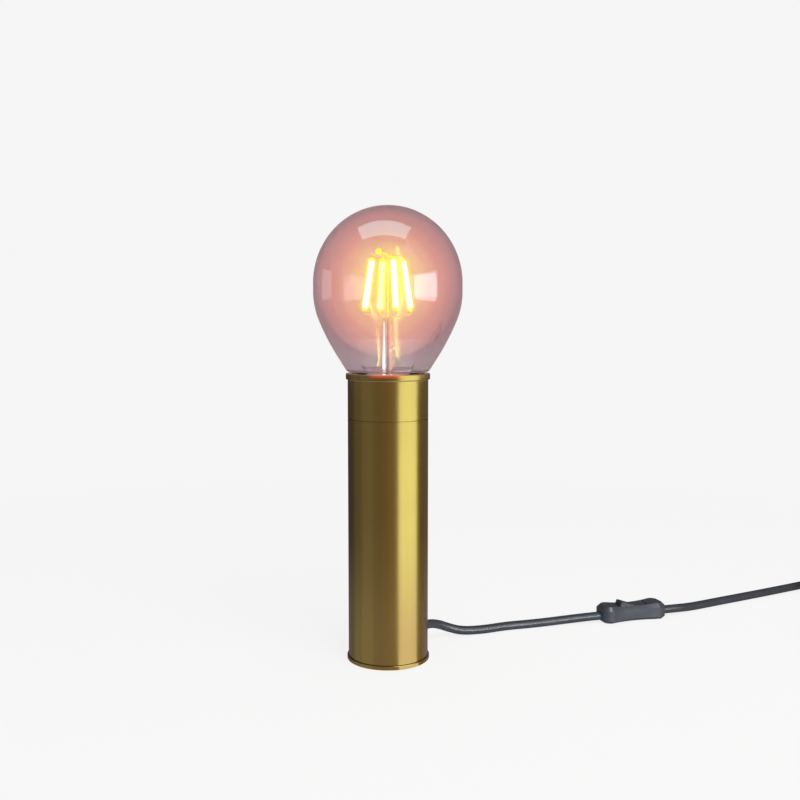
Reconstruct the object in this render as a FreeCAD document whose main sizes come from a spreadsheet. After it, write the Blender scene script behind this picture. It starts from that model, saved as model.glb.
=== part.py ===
import FreeCAD, Part
import math
import os
import re
from FreeCAD import Placement, Rotation, Vector
from Sketcher import Constraint

# Bare bulb table lamp: a brass tube on a weighted foot, an E27 lampholder in its top with a large
# filament bulb, and a mains lead with a rocker switch, a put-away coil and a two-pin plug.
# Millimetres and degrees. Z is up, the lamp's axis is the Z axis and it stands on Z = 0.

# The driving dimensions, each a cell of the sheet "sizes".
DIMENSIONS = {
    # foot
    "felt_radius": 23.4,
    "felt_thickness": 1.0,
    "felt_play": 0.3,
    "flange_underside": 0.4,
    "flange_radius": 26.35,
    "flange_top": 3.0,
    "edge_break": 0.3,
    "groove": 0.3,
    "spigot_radius": 23.85,
    "spigot_wall": 1.55,
    "spigot_top": 7.0,
    "foot_screw_circle": 19.0,
    "foot_screw_radius": 1.5,
    "foot_screw_head": 2.9,
    "foot_screw_head_height": 1.4,
    "foot_screw_play": 0.1,
    "foot_screw_tip": 14.0,
    # weight
    "weight_radius": 23.6,
    "weight_top": 45.0,
    "web_underside": 25.0,
    "cavity_radius": 16.0,
    "weight_play": 0.2,
    # tube and sleeve
    "tube_radius": 25.5,
    "tube_wall": 1.5,
    "seam_height": 155.3,
    "seam_gap": 0.4,
    "sleeve_top": 180.0,
    "rim_radius": 26.65,
    "rim_underside": 180.3,
    "rim_top": 184.0,
    "rim_wall": 1.85,
    "rim_spigot_bore": 22.4,
    "rim_spigot_length": 4.3,
    "coupler_bore": 22.3,
    "coupler_half": 10.0,
    "deck_top": 182.0,
    "deck_hole": 20.2,
    # cord exit
    "exit_azimuth": 50.0,
    "exit_height": 12.2,
    "exit_hole": 4.6,
    "relief_back": 12.5,
    "relief_tip": 32.5,
    "relief_neck_play": 0.2,
    "relief_inner_collar": 6.0,
    "relief_inner_collar_length": 2.1,
    "relief_outer_collar": 5.6,
    "relief_outer_collar_length": 1.5,
    "relief_tail": 4.7,
    "relief_tail_wall": 0.5,
    "cord_radius": 3.0,
    "lead_radius": 2.9,
    # rod
    "rod_radius": 5.0,
    "rod_bore": 3.7,
    "rod_bottom": 19.5,
    "rod_top": 133.0,
    "nut_across_flats": 14.0,
    "nut_thickness": 3.6,
    "washer_radius": 9.0,
    "washer_thickness": 1.2,
    "rod_thread_play": 0.05,
    "washer_play": 0.1,
    "inner_bend": 9.0,
    # lampholder
    "holder_bottom": 126.0,
    "holder_split": 152.5,
    "holder_radius": 19.4,
    "holder_wall": 1.5,
    "hub_radius": 9.6,
    "hub_height": 8.0,
    "dome_knee": 17.2,
    "dome_height": 14.0,
    "insert_play": 0.5,
    "skirt_radius": 19.7,
    "skirt_top": 182.6,
    "mouth_radius": 14.4,
    "support_radius": 16.7,
    "support_top": 178.4,
    "support_floor": 2.4,
    "support_hole": 4.0,
    "shade_ring_bore": 19.8,
    "shade_ring_low_radius": 22.2,
    "shade_ring_high_radius": 23.4,
    "contact_strip": 0.5,
    "contact_half_width": 2.0,
    "block_near": 5.5,
    "block_far": 10.5,
    "block_half_width": 3.0,
    "block_height": 6.1,
    "core_radius": 1.0,
    "insert_bottom": 144.0,
    "insert_top": 151.0,
    "screw_shell_bottom": 158.0,
    "screw_shell_top": 177.6,
    "screw_shell_bore": 13.35,
    "screw_shell_wall": 0.75,
    # E27 thread, right-handed, with rounded crests
    "thread_pitch": 3.629,
    "thread_start": 163.2,
    "thread_length": 13.4,
    "cap_root": 11.95,
    "cap_ridge_centre": 12.05,
    "cap_ridge_radius": 1.0,
    "holder_ridge_centre": 12.95,
    "holder_ridge_radius": 0.7,
    # bulb
    "tip_bottom": 156.6,
    "cap_bottom": 161.4,
    "cap_skirt_bottom": 179.4,
    "cap_skirt_radius": 14.0,
    "cap_top": 183.2,
    "cap_wall": 0.5,
    "cap_funnel": 1.4,
    "insulator_bore": 1.55,
    "insulator_face": 5.0,
    "insulator_rise": 1.6,
    "tip_radius": 4.3,
    "tip_face": 2.4,
    "tip_rivet": 1.5,
    "board_half": 8.0,
    "board_height": 12.5,
    "board_thickness": 1.0,
    "capacitor_radius": 3.8,
    "capacitor_height": 9.5,
    "globe_radius": 46.8,
    "globe_centre": 240.4,
    "globe_crown": 48.3,
    "globe_band": 5.5,
    "flank_radius": 47.5,
    "flank_angle": 22.8,
    "haunch_radius": 158.0,
    "haunch_angle": 32.4,
    "shoulder_radius": 2.8,
    "shoulder_bottom": 184.9,
    "tuck_angle": 102.0,
    "root_radius": 17.0,
    "root_height": 186.6,
    "glass_wall": 0.8,
    "neck_radius": 13.4,
    "neck_bottom": 180.2,
    "stem_top": 219.5,
    "stem_flare": 6.4,
    "stem_waist": 4.6,
    "stem_pinch": 4.2,
    "wire_radius": 0.4,
    "filament_low": 223.6,
    "filament_high": 255.6,
    "filament_foot_circle": 15.4,
    "filament_head_circle": 10.2,
    "filament_radius": 0.9,
    "filament_azimuth": 20.0,
    "post_radius": 0.55,
    "post_top": 258.0,
    # switch, in its own frame: u along the cord, v across, origin on the floor below its middle
    "switch_x": 176.2,
    "switch_y": 82.5,
    "switch_yaw": 17.0,
    "switch_half": 25.5,
    "switch_lobe": 9.5,
    "switch_lobe_at": 18.5,
    "switch_waist": 7.1,
    "switch_end_face": 4.0,
    "switch_corner": 7.0,
    "switch_parting": 4.3,
    "switch_top": 11.8,
    "switch_saddle": 10.8,
    "switch_saddle_radius": 140.0,
    "switch_bevel": 2.6,
    "switch_foot_bevel": 2.0,
    "cavity_half": 22.5,
    "cavity_width": 4.9,
    "cavity_floor": 1.6,
    "cavity_roof": 9.4,
    "rocker_reach": 10.9,
    "rocker_gap": 0.35,
    "rocker_width": 4.0,
    "rocker_pivot": 8.6,
    "rocker_lean": 9.5,
    "pin_radius": 1.0,
    "rocker_crown": 4.0,
    "rocker_belly": 1.0,
    "rocker_valley": 2.3,
    "rocker_foot": 2.2,
    "rocker_foot_half": 4.5,
    "contact_thickness": 0.5,
    "contact_half": 1.5,
    "terminal_near": 12.1,
    "terminal_far": 17.4,
    "terminal_half": 2.1,
    "terminal_top": 6.6,
    "stub_length": 5.0,
    "clamp_near": 20.8,
    "clamp_far": 22.2,
    "clamp_half": 4.6,
    "clamp_thickness": 1.2,
    "live_core_radius": 0.9,
    "neutral_core_radius": 0.8,
    # coil
    "coil_pitch": 6.6,
    "coil_height": 3.5,
    "coil_outer": 43.5,
    "coil_turns": 6.5,
    "strap_thickness": 0.4,
    "strap_width": 9.0,
    "strap_play": 0.4,
    # plug, in its own frame: u along the cord towards the pins, origin at the body's back
    "plug_yaw": -147.8,
    "plug_axis": 6.85,
    "plug_length": 36.0,
    "plug_half_width": 12.8,
    "plug_back_half": 5.6,
    "plug_relief": 22.0,
    "plug_pin_length": 19.0,
    "plug_sleeve_length": 10.0,
    "plug_pin_radius": 2.0,
    "plug_pin_offset": 9.3,
    "plug_shoulder": 14.0,
    "plug_flank_radius": 60.0,
    "plug_nose": 2.0,
    "plug_bevel": 2.4,
    "plug_relief_root": 5.4,
    "plug_core_radius": 1.5,
    "plug_sleeve_radius": 1.9,
}

# The cord's free stretches, points of their centre lines: lamp to switch, switch to coil, coil to plug.
ROUTE_TO_SWITCH = [
    (20.89, 24.9, 12.2),
    (26.7, 31.82, 12.2),
    (33.4, 37.9, 10.0),
    (41.3, 42.4, 5.9),
    (50.7, 44.4, 3.0),
    (66.0, 47.4, 3.0),
    (81.0, 55.0, 3.0),
    (103.0, 61.0, 3.0),
    (124.0, 69.0, 3.0),
    (140.3, 71.53, 4.3),
    (151.81, 75.04, 4.3),
]
ROUTE_TO_COIL = [
    (200.59, 89.96, 4.3),
    (211.5, 93.3, 4.3),
    (226.0, 101.8, 3.0),
    (250.0, 115.4, 3.0),
    (282.0, 132.8, 3.0),
    (310.0, 148.6, 3.0),
    (331.2, 160.3, 3.2),
    (350.4, 171.08, 3.5),
]
ROUTE_TO_PLUG = [
    (393.05, 95.08, 10.1),
    (385.57, 90.64, 9.8),
    (376.4, 86.3, 8.5),
    (367.4, 80.55, 7.0),
    (360.1, 75.95, 6.85),
]

LEAST_COIL_GAP = 0.4

document = FreeCAD.newDocument("bare_bulb_table_lamp")
sheet = document.addObject("Spreadsheet::Sheet", "sizes")
for row, (alias, number) in enumerate(DIMENSIONS.items(), start=1):
    sheet.set(f"A{row}", alias.replace("_", " "))
    sheet.set(f"B{row}", str(number))
    sheet.setAlias(f"B{row}", alias)
document.recompute()

pieces = []


# ---------------------------------------------------------------- sizes and names


def bound(expression):
    """The expression with the sheet's name in front of each of its cells."""
    words = re.compile(r"[a-z][a-z_]+")
    return words.sub(lambda w: "sizes." + w.group() if w.group() in DIMENSIONS else w.group(), expression)


def size(expression):
    """What an expression on the sheet's cells comes to."""
    return float(sheet.evalExpression(str(expression)))


def bind(thing, attribute, expression):
    """Ties one of an object's sizes to the sheet."""
    thing.setExpression(attribute, bound(str(expression)))


def keep(thing, label):
    """Lists an object as one of the lamp's sub-parts."""
    thing.Label = label
    pieces.append(thing)
    return thing


def place(thing, x="0", y="0", z="0", yaw="0"):
    """Puts an object at a place, turned about the vertical."""
    thing.Placement = Placement(Vector(size(x), size(y), size(z)), Rotation(Vector(0, 0, 1), size(yaw)))
    for axis, expression in (("x", x), ("y", y), ("z", z)):
        bind(thing, f"Placement.Base.{axis}", expression)
    bind(thing, "Placement.Rotation.Angle", f"({yaw}) * 1 deg")
    return thing


def in_switch(thing):
    """Moves a piece from the switch's own frame to where the switch lies."""
    return place(thing, "switch_x", "switch_y", "0", "switch_yaw")


def in_plug(thing, height="0"):
    """Moves a piece from the plug's own frame to where the plug lies."""
    return place(thing, str(PLUG_AT.x), str(PLUG_AT.y), height, "plug_yaw")


# ---------------------------------------------------------------- sketches


def arc_middle(start, end, radius):
    """The middle of an arc from start to end that bulges to the right of the way, or left if radius < 0."""
    along = end.sub(start)
    side = Vector(along.y, -along.x, 0).normalize()
    rise = abs(radius) - math.sqrt(radius * radius - along.Length ** 2 / 4)
    return start.add(end).multiply(0.5).add(side.multiply(math.copysign(rise, radius)))


def draw_outline(sketch, outline):
    """Draws a closed outline of (x, y) or (x, y, radius of the arc to the next point), bound to the sheet."""
    corners = [Vector(size(point[0]), size(point[1]), 0) for point in outline]
    starts = []
    for index, point in enumerate(outline):
        here, after = corners[index], corners[(index + 1) % len(corners)]
        if len(point) == 3:
            radius = size(point[2])
            sketch.addGeometry(Part.Arc(here, arc_middle(here, after, radius), after), False)
            clockwise = radius < 0
            starts.append((2, 1) if clockwise else (1, 2))
        else:
            sketch.addGeometry(Part.LineSegment(here, after), False)
            starts.append((1, 2))
    for index, point in enumerate(outline):
        following = (index + 1) % len(outline)
        sketch.addConstraint(
            Constraint("Coincident", index, starts[index][1], following, starts[following][0])
        )
        fix_coordinate(sketch, index, starts[index][0], "X", point[0])
        fix_coordinate(sketch, index, starts[index][0], "Y", point[1])
        if len(point) == 3:
            number = sketch.addConstraint(Constraint("Radius", index, abs(size(point[2]))))
            name_and_bind(sketch, number, f"bend{index}", f"abs({point[2]})")


def fix_coordinate(sketch, edge, end, axis, expression):
    """Holds one coordinate of an edge's end: on an axis if it is zero, else at its size."""
    distance = size(expression)
    if abs(distance) < 1e-9:
        sketch.addConstraint(Constraint("PointOnObject", edge, end, -2 if axis == "X" else -1))
        return
    number = sketch.addConstraint(Constraint("Distance" + axis, -1, 1, edge, end, distance))
    name_and_bind(sketch, number, f"{axis.lower()}{edge}", expression)


def name_and_bind(sketch, number, name, expression):
    sketch.renameConstraint(number, name)
    if re.search("[a-z]", str(expression).replace("abs", "")):
        sketch.setExpression("Constraints." + name, bound(str(expression)))


def sketch_on(body, plane, outline, offset="0"):
    """A sketch on one of a body's own planes, moved off it along its normal."""
    sketch = body.newObject("Sketcher::SketchObject", body.Name + "_outline")
    origin = [plane_of for plane_of in body.Origin.OriginFeatures if plane_of.Role == plane]
    sketch.AttachmentSupport = [(origin[0], "")]
    sketch.MapMode = "FlatFace"
    if size(offset):
        sketch.AttachmentOffset = Placement(Vector(0, 0, size(offset)), Rotation())
        bind(sketch, "AttachmentOffset.Base.z", offset)
    draw_outline(sketch, outline)
    return sketch


# ---------------------------------------------------------------- solids


def turned(name, outline):
    """A body turned about the Z axis from an outline of (radius, height)."""
    body = document.addObject("PartDesign::Body", name)
    profile = sketch_on(body, "XZ_Plane", outline)
    turn = body.newObject("PartDesign::Revolution", name + "_turned")
    turn.Profile = profile
    turn.ReferenceAxis = (profile, ["V_Axis"])
    turn.Angle = 360
    body.Tip = turn
    document.recompute()
    return body


def padded(name, outline, low, high, bevel_high=None, bevel_low=None):
    """A body of one plan outline between two heights, its upper or lower edge bevelled."""
    body = document.addObject("PartDesign::Body", name)
    plan = sketch_on(body, "XY_Plane", outline, low)
    tip = body.newObject("PartDesign::Pad", name + "_pad")
    tip.Profile = plan
    tip.Length = size(f"({high}) - ({low})")
    bind(tip, "Length", f"({high}) - ({low})")
    body.Tip = tip
    document.recompute()
    for bevel, highest in ((bevel_high, True), (bevel_low, False)):
        if bevel is None:
            continue
        heights = [face.CenterOfMass.z for face in tip.Shape.Faces]
        chosen = heights.index(max(heights) if highest else min(heights))
        chamfer = body.newObject("PartDesign::Chamfer", name + "_bevel")
        chamfer.Base = (tip, [f"Face{chosen + 1}"])
        chamfer.Size = size(bevel)
        bind(chamfer, "Size", bevel)
        body.Tip = chamfer
        document.recompute()
        tip = chamfer
    return body


def sided(name, outline, half_width):
    """A body of one outline in the XZ plane, padded to both sides of it."""
    body = document.addObject("PartDesign::Body", name)
    profile = sketch_on(body, "XZ_Plane", outline)
    pad = body.newObject("PartDesign::Pad", name + "_pad")
    pad.Profile = profile
    pad.Midplane = True
    pad.Length = size(f"2 * ({half_width})")
    bind(pad, "Length", f"2 * ({half_width})")
    body.Tip = pad
    document.recompute()
    return body


def cylinder(name, radius, length, base=("0", "0", "0"), axis=Vector(0, 0, 1)):
    """A cylinder from a base point along an axis."""
    rod = document.addObject("Part::Cylinder", name)
    bind(rod, "Radius", radius)
    bind(rod, "Height", length)
    centre = Vector(*[size(part) for part in base])
    rod.Placement = Placement(centre, Rotation(Vector(0, 0, 1), axis))
    return rod


def cone(name, low_radius, high_radius, length, base=("0", "0", "0")):
    frustum = document.addObject("Part::Cone", name)
    bind(frustum, "Radius1", low_radius)
    bind(frustum, "Radius2", high_radius)
    bind(frustum, "Height", length)
    frustum.Placement = Placement(Vector(*[size(part) for part in base]), Rotation())
    return frustum


def box(name, low, high):
    """A box between two corners."""
    block = document.addObject("Part::Box", name)
    for side, start, end in zip(("Length", "Width", "Height"), low, high):
        bind(block, side, f"({end}) - ({start})")
    for axis, start in zip("xyz", low):
        bind(block, f"Placement.Base.{axis}", start)
    return block


def cut(name, base, *tools):
    """A solid with one or more tools taken out of it."""
    taken = tools[0]
    if len(tools) > 1:
        taken = document.addObject("Part::Compound", name + "_tools")
        taken.Links = list(tools)
    result = document.addObject("Part::Cut", name)
    result.Base = base
    result.Tool = taken
    document.recompute()
    return result


def fused(name, *solids):
    result = document.addObject("Part::MultiFuse", name)
    result.Shapes = list(solids)
    document.recompute()
    return result


def group(name, members):
    """Separate solids that share one node."""
    result = document.addObject("Part::Compound", name)
    result.Links = members
    document.recompute()
    return result


def shaped(name, shape, placement=None):
    """A piece whose form is worked out with curves."""
    feature = document.addObject("Part::Feature", name)
    feature.Shape = shape
    if placement is not None:
        feature.Placement = placement
    return feature


def polar(radius, degrees, height=0.0):
    angle = math.radians(degrees)
    return Vector(radius * math.cos(angle), radius * math.sin(angle), height)


# ---------------------------------------------------------------- paths and tubes


def rounded_path(points, share=0.45):
    """Straight runs joined by tangent arcs, each as large as its two runs allow, and the arcs' radii."""
    route = [Vector(*point) for point in points]
    edges, radii = [], []
    here = route[0]
    for index in range(1, len(route) - 1):
        before = route[index].sub(route[index - 1])
        after = route[index + 1].sub(route[index])
        tangent = share * min(before.Length, after.Length)
        half_turn = before.getAngle(after) / 2
        radii.append(tangent / math.tan(half_turn))
        start = route[index].sub(before.normalize().multiply(tangent))
        end = route[index].add(after.normalize().multiply(tangent))
        edges.append(Part.LineSegment(here, start).toShape())
        edges.append(tangent_arc(start, route[index], end))
        here = end
    edges.append(Part.LineSegment(here, route[-1]).toShape())
    return Part.Wire(edges), radii


def tangent_arc(start, apex, end):
    """The arc from start to end whose tangents there meet at apex, as far from both."""
    half_turn = apex.sub(start).getAngle(end.sub(apex)) / 2
    chord_middle = start.add(end).multiply(0.5)
    rise = math.tan(half_turn / 2) / math.tan(half_turn)
    middle = chord_middle.add(apex.sub(chord_middle).multiply(rise))
    return Part.Arc(start, middle, end).toShape()


def swept(wire, radius):
    """A round solid along a wire."""
    first = wire.Edges[0]
    ring = Part.Circle(first.valueAt(first.FirstParameter), first.tangentAt(first.FirstParameter), radius)
    return wire.makePipeShell([Part.Wire(ring.toShape())], True, False)


def tube(name, points, radius, report=True):
    """A round cord along a route, with its smallest bend and its volume compared with section times length."""
    wire, radii = rounded_path(points)
    solid = swept(wire, radius)
    expected = math.pi * radius ** 2 * wire.Length
    if abs(solid.Volume / expected - 1) > 0.01:
        raise RuntimeError(f"{name} holds {solid.Volume:.0f}, not {expected:.0f} cubic mm")
    if report:
        bends = " ".join(f"{bend:.0f}" for bend in radii)
        print(f"{name}: length {wire.Length:.1f} mm, bend radii {bends} mm")
    return shaped(name, solid)


def coil_point(turns, centre, start_angle):
    """A point of the two-layer coil, by turns from its start: in, up a layer at the middle, and out."""
    middle = size("coil_turns") / 2
    radius = size("coil_outer") - size("coil_pitch") * (middle - abs(turns - middle))
    climb = min(1.0, max(0.0, (turns - middle + 0.25) / 0.5))
    rise = size("coil_pitch") * (3 * climb ** 2 - 2 * climb ** 3)
    angle = start_angle - 360 * turns
    return centre.add(polar(radius, angle, size("coil_height") + rise))


def biarc(start, start_way, end, end_way):
    """Two tangent arcs from start to end that leave and arrive along the two ways."""
    span = end.sub(start)
    both = start_way.add(end_way)
    bend = 2 * (1 - start_way.dot(end_way))
    along = span.dot(both)
    reach = (-along + math.sqrt(along ** 2 + bend * span.dot(span))) / bend
    first = start.add(Vector(start_way).multiply(reach))
    second = end.sub(Vector(end_way).multiply(reach))
    join = first.add(second).multiply(0.5)
    return [tangent_arc(start, first, join), tangent_arc(join, second, end)]


# ================================================================ the foot


def make_felt_pad():
    disc = turned(
        "felt_pad",
        [("0", "0"), ("felt_radius", "0"), ("felt_radius", "felt_thickness"), ("0", "felt_thickness")],
    )
    return keep(disc, "felt_pad")


def foot_screw_places():
    return [polar(size("foot_screw_circle"), 90 + 120 * number) for number in range(3)]


def make_base_plate():
    """The flanged brass plate: a recess for the felt below, a spigot into the tube above."""
    blank = turned(
        "base_plate_blank",
        [
            ("0", "felt_thickness"),
            ("felt_radius + felt_play", "felt_thickness"),
            ("felt_radius + felt_play", "flange_underside"),
            ("flange_radius - edge_break", "flange_underside"),
            ("flange_radius", "flange_underside + edge_break"),
            ("flange_radius", "flange_top - edge_break"),
            ("flange_radius - edge_break", "flange_top"),
            ("spigot_radius", "flange_top"),
            ("spigot_radius", "spigot_top"),
            ("spigot_radius - spigot_wall", "spigot_top"),
            ("spigot_radius - spigot_wall", "flange_top"),
            ("0", "flange_top"),
        ],
    )
    holes = []
    for number, at in enumerate(foot_screw_places()):
        where = (str(at.x), str(at.y), "felt_thickness")
        head, shank = "foot_screw_head + foot_screw_play", "foot_screw_radius + foot_screw_play"
        countersink = cone(f"countersink_{number}", head, shank, "foot_screw_head_height", where)
        hole = cylinder(f"plate_hole_{number}", shank, "flange_top", where)
        holes.append(fused(f"plate_opening_{number}", countersink, hole))
    return keep(cut("base_plate", blank, *holes), "base_plate")


def make_base_screws():
    screws = []
    for number, at in enumerate(foot_screw_places()):
        where = (str(at.x), str(at.y), "felt_thickness + 0.05")
        head = cone(
            f"foot_screw_head_{number}", "foot_screw_head", "foot_screw_radius", "foot_screw_head_height", where
        )
        length = "foot_screw_tip - felt_thickness"
        shank = cylinder(f"foot_screw_shank_{number}", "foot_screw_radius", length, where)
        screws.append(fused(f"foot_screw_{number}", head, shank))
    return keep(group("base_screws", screws), "base_screws")


def radial_bore(name, radius, length):
    """A cylinder from the axis outwards, where the cord leaves the lamp."""
    way = polar(1, size("exit_azimuth"))
    return cylinder(name, radius, length, ("0", "0", "exit_height"), way)


def make_ballast_weight():
    """The iron weight: a thick web that the rod pulls on, over a cavity where the lead turns up."""
    blank = turned(
        "weight_blank",
        [
            ("cavity_radius", "flange_top + weight_play / 2"),
            ("spigot_radius - spigot_wall - weight_play", "flange_top + weight_play / 2"),
            ("spigot_radius - spigot_wall - weight_play", "spigot_top + weight_play"),
            ("weight_radius", "spigot_top + weight_play"),
            ("weight_radius", "weight_top"),
            ("rod_radius + weight_play", "weight_top"),
            ("rod_radius + weight_play", "web_underside"),
            ("cavity_radius", "web_underside"),
        ],
    )
    tools = [radial_bore("weight_cord_bore", "exit_hole", "rim_radius")]
    for number, at in enumerate(foot_screw_places()):
        where = (str(at.x), str(at.y), "0")
        depth = "foot_screw_tip + 1"
        radius = "foot_screw_radius + foot_screw_play / 2"
        tools.append(cylinder(f"weight_tapping_{number}", radius, depth, where))
    return keep(cut("ballast_weight", blank, *tools), "ballast_weight")


def make_strain_relief():
    """The tapered sleeve that holds the lead in the wall: a collar inside, a collar and a tail outside."""
    sleeve = turned(
        "strain_relief",
        [
            ("0", "relief_back"),
            ("relief_inner_collar", "relief_back"),
            ("relief_inner_collar", "relief_back + relief_inner_collar_length"),
            ("exit_hole - relief_neck_play", "relief_back + relief_inner_collar_length"),
            ("exit_hole - relief_neck_play", "tube_radius + 0.1"),
            ("relief_outer_collar", "tube_radius + 0.1"),
            ("relief_outer_collar", "tube_radius + 0.1 + relief_outer_collar_length"),
            ("relief_tail", "tube_radius + 0.5 + relief_outer_collar_length"),
            ("cord_radius + relief_tail_wall", "relief_tip"),
            ("0", "relief_tip"),
        ],
    )
    way = polar(1, size("exit_azimuth"))
    sleeve.Placement = Placement(
        Vector(0, 0, size("exit_height")), Rotation(Vector(0, 0, 1), way)
    )
    return keep(sleeve, "strain_relief")


# ================================================================ the body


def make_tube():
    blank = turned(
        "tube_blank",
        [
            ("tube_radius - tube_wall", "flange_top + groove"),
            ("tube_radius", "flange_top + groove"),
            ("tube_radius", "seam_height"),
            ("tube_radius - tube_wall", "seam_height"),
        ],
    )
    return keep(cut("tube", blank, radial_bore("tube_cord_bore", "exit_hole", "rim_radius")), "tube")


def make_sleeve_coupler():
    """The ring inside the seam, which lines the sleeve up with the tube."""
    ring = turned(
        "sleeve_coupler",
        [
            ("coupler_bore", "seam_height - coupler_half"),
            ("spigot_radius", "seam_height - coupler_half"),
            ("spigot_radius", "seam_height + coupler_half"),
            ("coupler_bore", "seam_height + coupler_half"),
        ],
    )
    return keep(ring, "sleeve_coupler")


def make_top_sleeve():
    ring = turned(
        "top_sleeve",
        [
            ("tube_radius - tube_wall", "seam_height + seam_gap"),
            ("tube_radius", "seam_height + seam_gap"),
            ("tube_radius", "sleeve_top"),
            ("tube_radius - tube_wall", "sleeve_top"),
        ],
    )
    return keep(ring, "top_sleeve")


def make_rim_cap():
    """The rim and the recessed deck inside it, one turned piece with a spigot into the sleeve."""
    cap = turned(
        "rim_cap",
        [
            ("deck_hole", "rim_underside + 0.3"),
            ("rim_spigot_bore", "rim_underside + 0.3"),
            ("rim_spigot_bore", "rim_underside - rim_spigot_length"),
            ("spigot_radius", "rim_underside - rim_spigot_length"),
            ("spigot_radius", "rim_underside"),
            ("rim_radius - edge_break", "rim_underside"),
            ("rim_radius", "rim_underside + edge_break"),
            ("rim_radius", "rim_top - edge_break"),
            ("rim_radius - edge_break", "rim_top"),
            ("rim_radius - rim_wall + edge_break", "rim_top"),
            ("rim_radius - rim_wall", "rim_top - edge_break"),
            ("rim_radius - rim_wall", "deck_top"),
            ("deck_hole", "deck_top"),
        ],
    )
    return keep(cap, "rim_cap")


# ================================================================ rod and inner lead


def make_threaded_rod():
    rod = turned(
        "threaded_rod",
        [
            ("rod_bore", "rod_bottom"),
            ("rod_radius", "rod_bottom"),
            ("rod_radius", "rod_top"),
            ("rod_bore", "rod_top"),
        ],
    )
    return keep(rod, "threaded_rod")


def make_nut(name, height):
    """A hexagon nut on the rod."""
    prism = document.addObject("Part::Prism", name + "_hexagon")
    prism.Polygon = 6
    bind(prism, "Circumradius", "nut_across_flats / sqrt(3)")
    bind(prism, "Height", "nut_thickness")
    bind(prism, "Placement.Base.z", height)
    hole_base = ("0", "0", f"{height} - 1")
    hole = cylinder(name + "_hole", "rod_radius + rod_thread_play", "nut_thickness + 2", hole_base)
    return cut(name, prism, hole)


def make_rod_nuts():
    heights = {
        "nut_below_web": "web_underside - washer_thickness - nut_thickness",
        "nut_above_web": "weight_top + washer_thickness",
        "nut_under_holder": "holder_bottom - nut_thickness",
    }
    nuts = [make_nut(name, height) for name, height in heights.items()]
    return keep(group("rod_nuts", nuts), "rod_nuts")


def make_rod_washers():
    washers = []
    for name, low in (("washer_low", "web_underside - washer_thickness"), ("washer_high", "weight_top")):
        outline = [
            ("rod_radius + washer_play", low),
            ("washer_radius", low),
            ("washer_radius", f"{low} + washer_thickness"),
            ("rod_radius + washer_play", f"{low} + washer_thickness"),
        ]
        washers.append(turned(name, outline))
    return keep(group("rod_washers", washers), "rod_washers")


def make_inner_lead():
    """The lead from the strain relief in under the web, and up the rod's bore to the lampholder."""
    back = polar(size("relief_back"), size("exit_azimuth"), size("exit_height"))
    turn = Vector(0, 0, size("exit_height"))
    top = Vector(0, 0, size("rod_top + 1.2"))
    reach = size("inner_bend")
    start = turn.add(back.sub(turn).normalize().multiply(reach))
    rise = turn.add(Vector(0, 0, reach))
    edges = [
        Part.LineSegment(back, start).toShape(),
        tangent_arc(start, turn, rise),
        Part.LineSegment(rise, top).toShape(),
    ]
    solid = swept(Part.Wire(edges), size("lead_radius"))
    return keep(shaped("inner_lead", solid), "inner_lead")


# ================================================================ lampholder


def make_holder_base():
    """The lower half of the lampholder: a dome on a hub that screws on the rod."""
    dome = turned(
        "holder_base",
        [
            ("rod_radius + rod_thread_play", "holder_bottom"),
            ("hub_radius - 0.6", "holder_bottom"),
            ("dome_knee", "holder_bottom + hub_height"),
            ("holder_radius", "holder_bottom + dome_height"),
            ("holder_radius", "holder_split"),
            ("holder_radius - holder_wall", "holder_split"),
            ("holder_radius - holder_wall", "holder_bottom + dome_height + 0.6"),
            ("dome_knee - 1", "holder_bottom + hub_height + 1.8"),
            ("hub_radius", "holder_bottom + 3.2"),
            ("hub_radius", "holder_bottom + hub_height"),
            ("rod_radius + rod_thread_play", "holder_bottom + hub_height"),
        ],
    )
    return keep(dome, "holder_base")


def make_holder_skirt():
    """The upper half: an outer sleeve with the mouth that the bulb's cap goes through."""
    skirt = turned(
        "holder_skirt",
        [
            ("support_radius + 0.2", "holder_split + 0.1"),
            ("skirt_radius", "holder_split + 0.1"),
            ("skirt_radius", "skirt_top"),
            ("mouth_radius", "skirt_top"),
            ("mouth_radius", "support_top + 0.2"),
            ("support_radius + 0.2", "support_top + 0.2"),
        ],
    )
    return keep(skirt, "holder_skirt")


def make_shade_ring(name, low, high, outer):
    """One of the two screwed rings that clamp the deck."""
    bore = "shade_ring_bore"
    return keep(turned(name, [(bore, low), (outer, low), (outer, high), (bore, high)]), name)


def make_holder_insert():
    puck = turned(
        "holder_insert",
        [
            ("0", "insert_bottom"),
            ("holder_radius - holder_wall - insert_play", "insert_bottom"),
            ("holder_radius - holder_wall - insert_play", "insert_top"),
            ("0", "insert_top"),
        ],
    )
    return keep(puck, "holder_insert")


def make_shell_support():
    """The ceramic cup round the screw shell."""
    low = "holder_split + 0.3"
    cup = turned(
        "shell_support",
        [
            ("support_hole", low),
            ("support_radius", low),
            ("support_radius", "support_top"),
            ("screw_shell_bore + screw_shell_wall + 0.1", "support_top"),
            ("screw_shell_bore + screw_shell_wall + 0.1", f"{low} + support_floor"),
            ("support_hole", f"{low} + support_floor"),
        ],
    )
    return keep(cup, "shell_support")


def thread_ridge(start, turns, centre_radius, ridge_radius):
    """The round ridge of a right-handed thread."""
    pitch = size("thread_pitch")
    helix = Part.makeHelix(pitch, pitch * turns, centre_radius)
    helix.translate(Vector(0, 0, start))
    path = Part.Wire(helix.Edges)
    first = path.Edges[0]
    at = first.valueAt(first.FirstParameter)
    way = first.tangentAt(first.FirstParameter)
    ring = Part.Circle(at, way, ridge_radius)
    return path.makePipeShell([Part.Wire(ring.toShape())], True, True)


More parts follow.
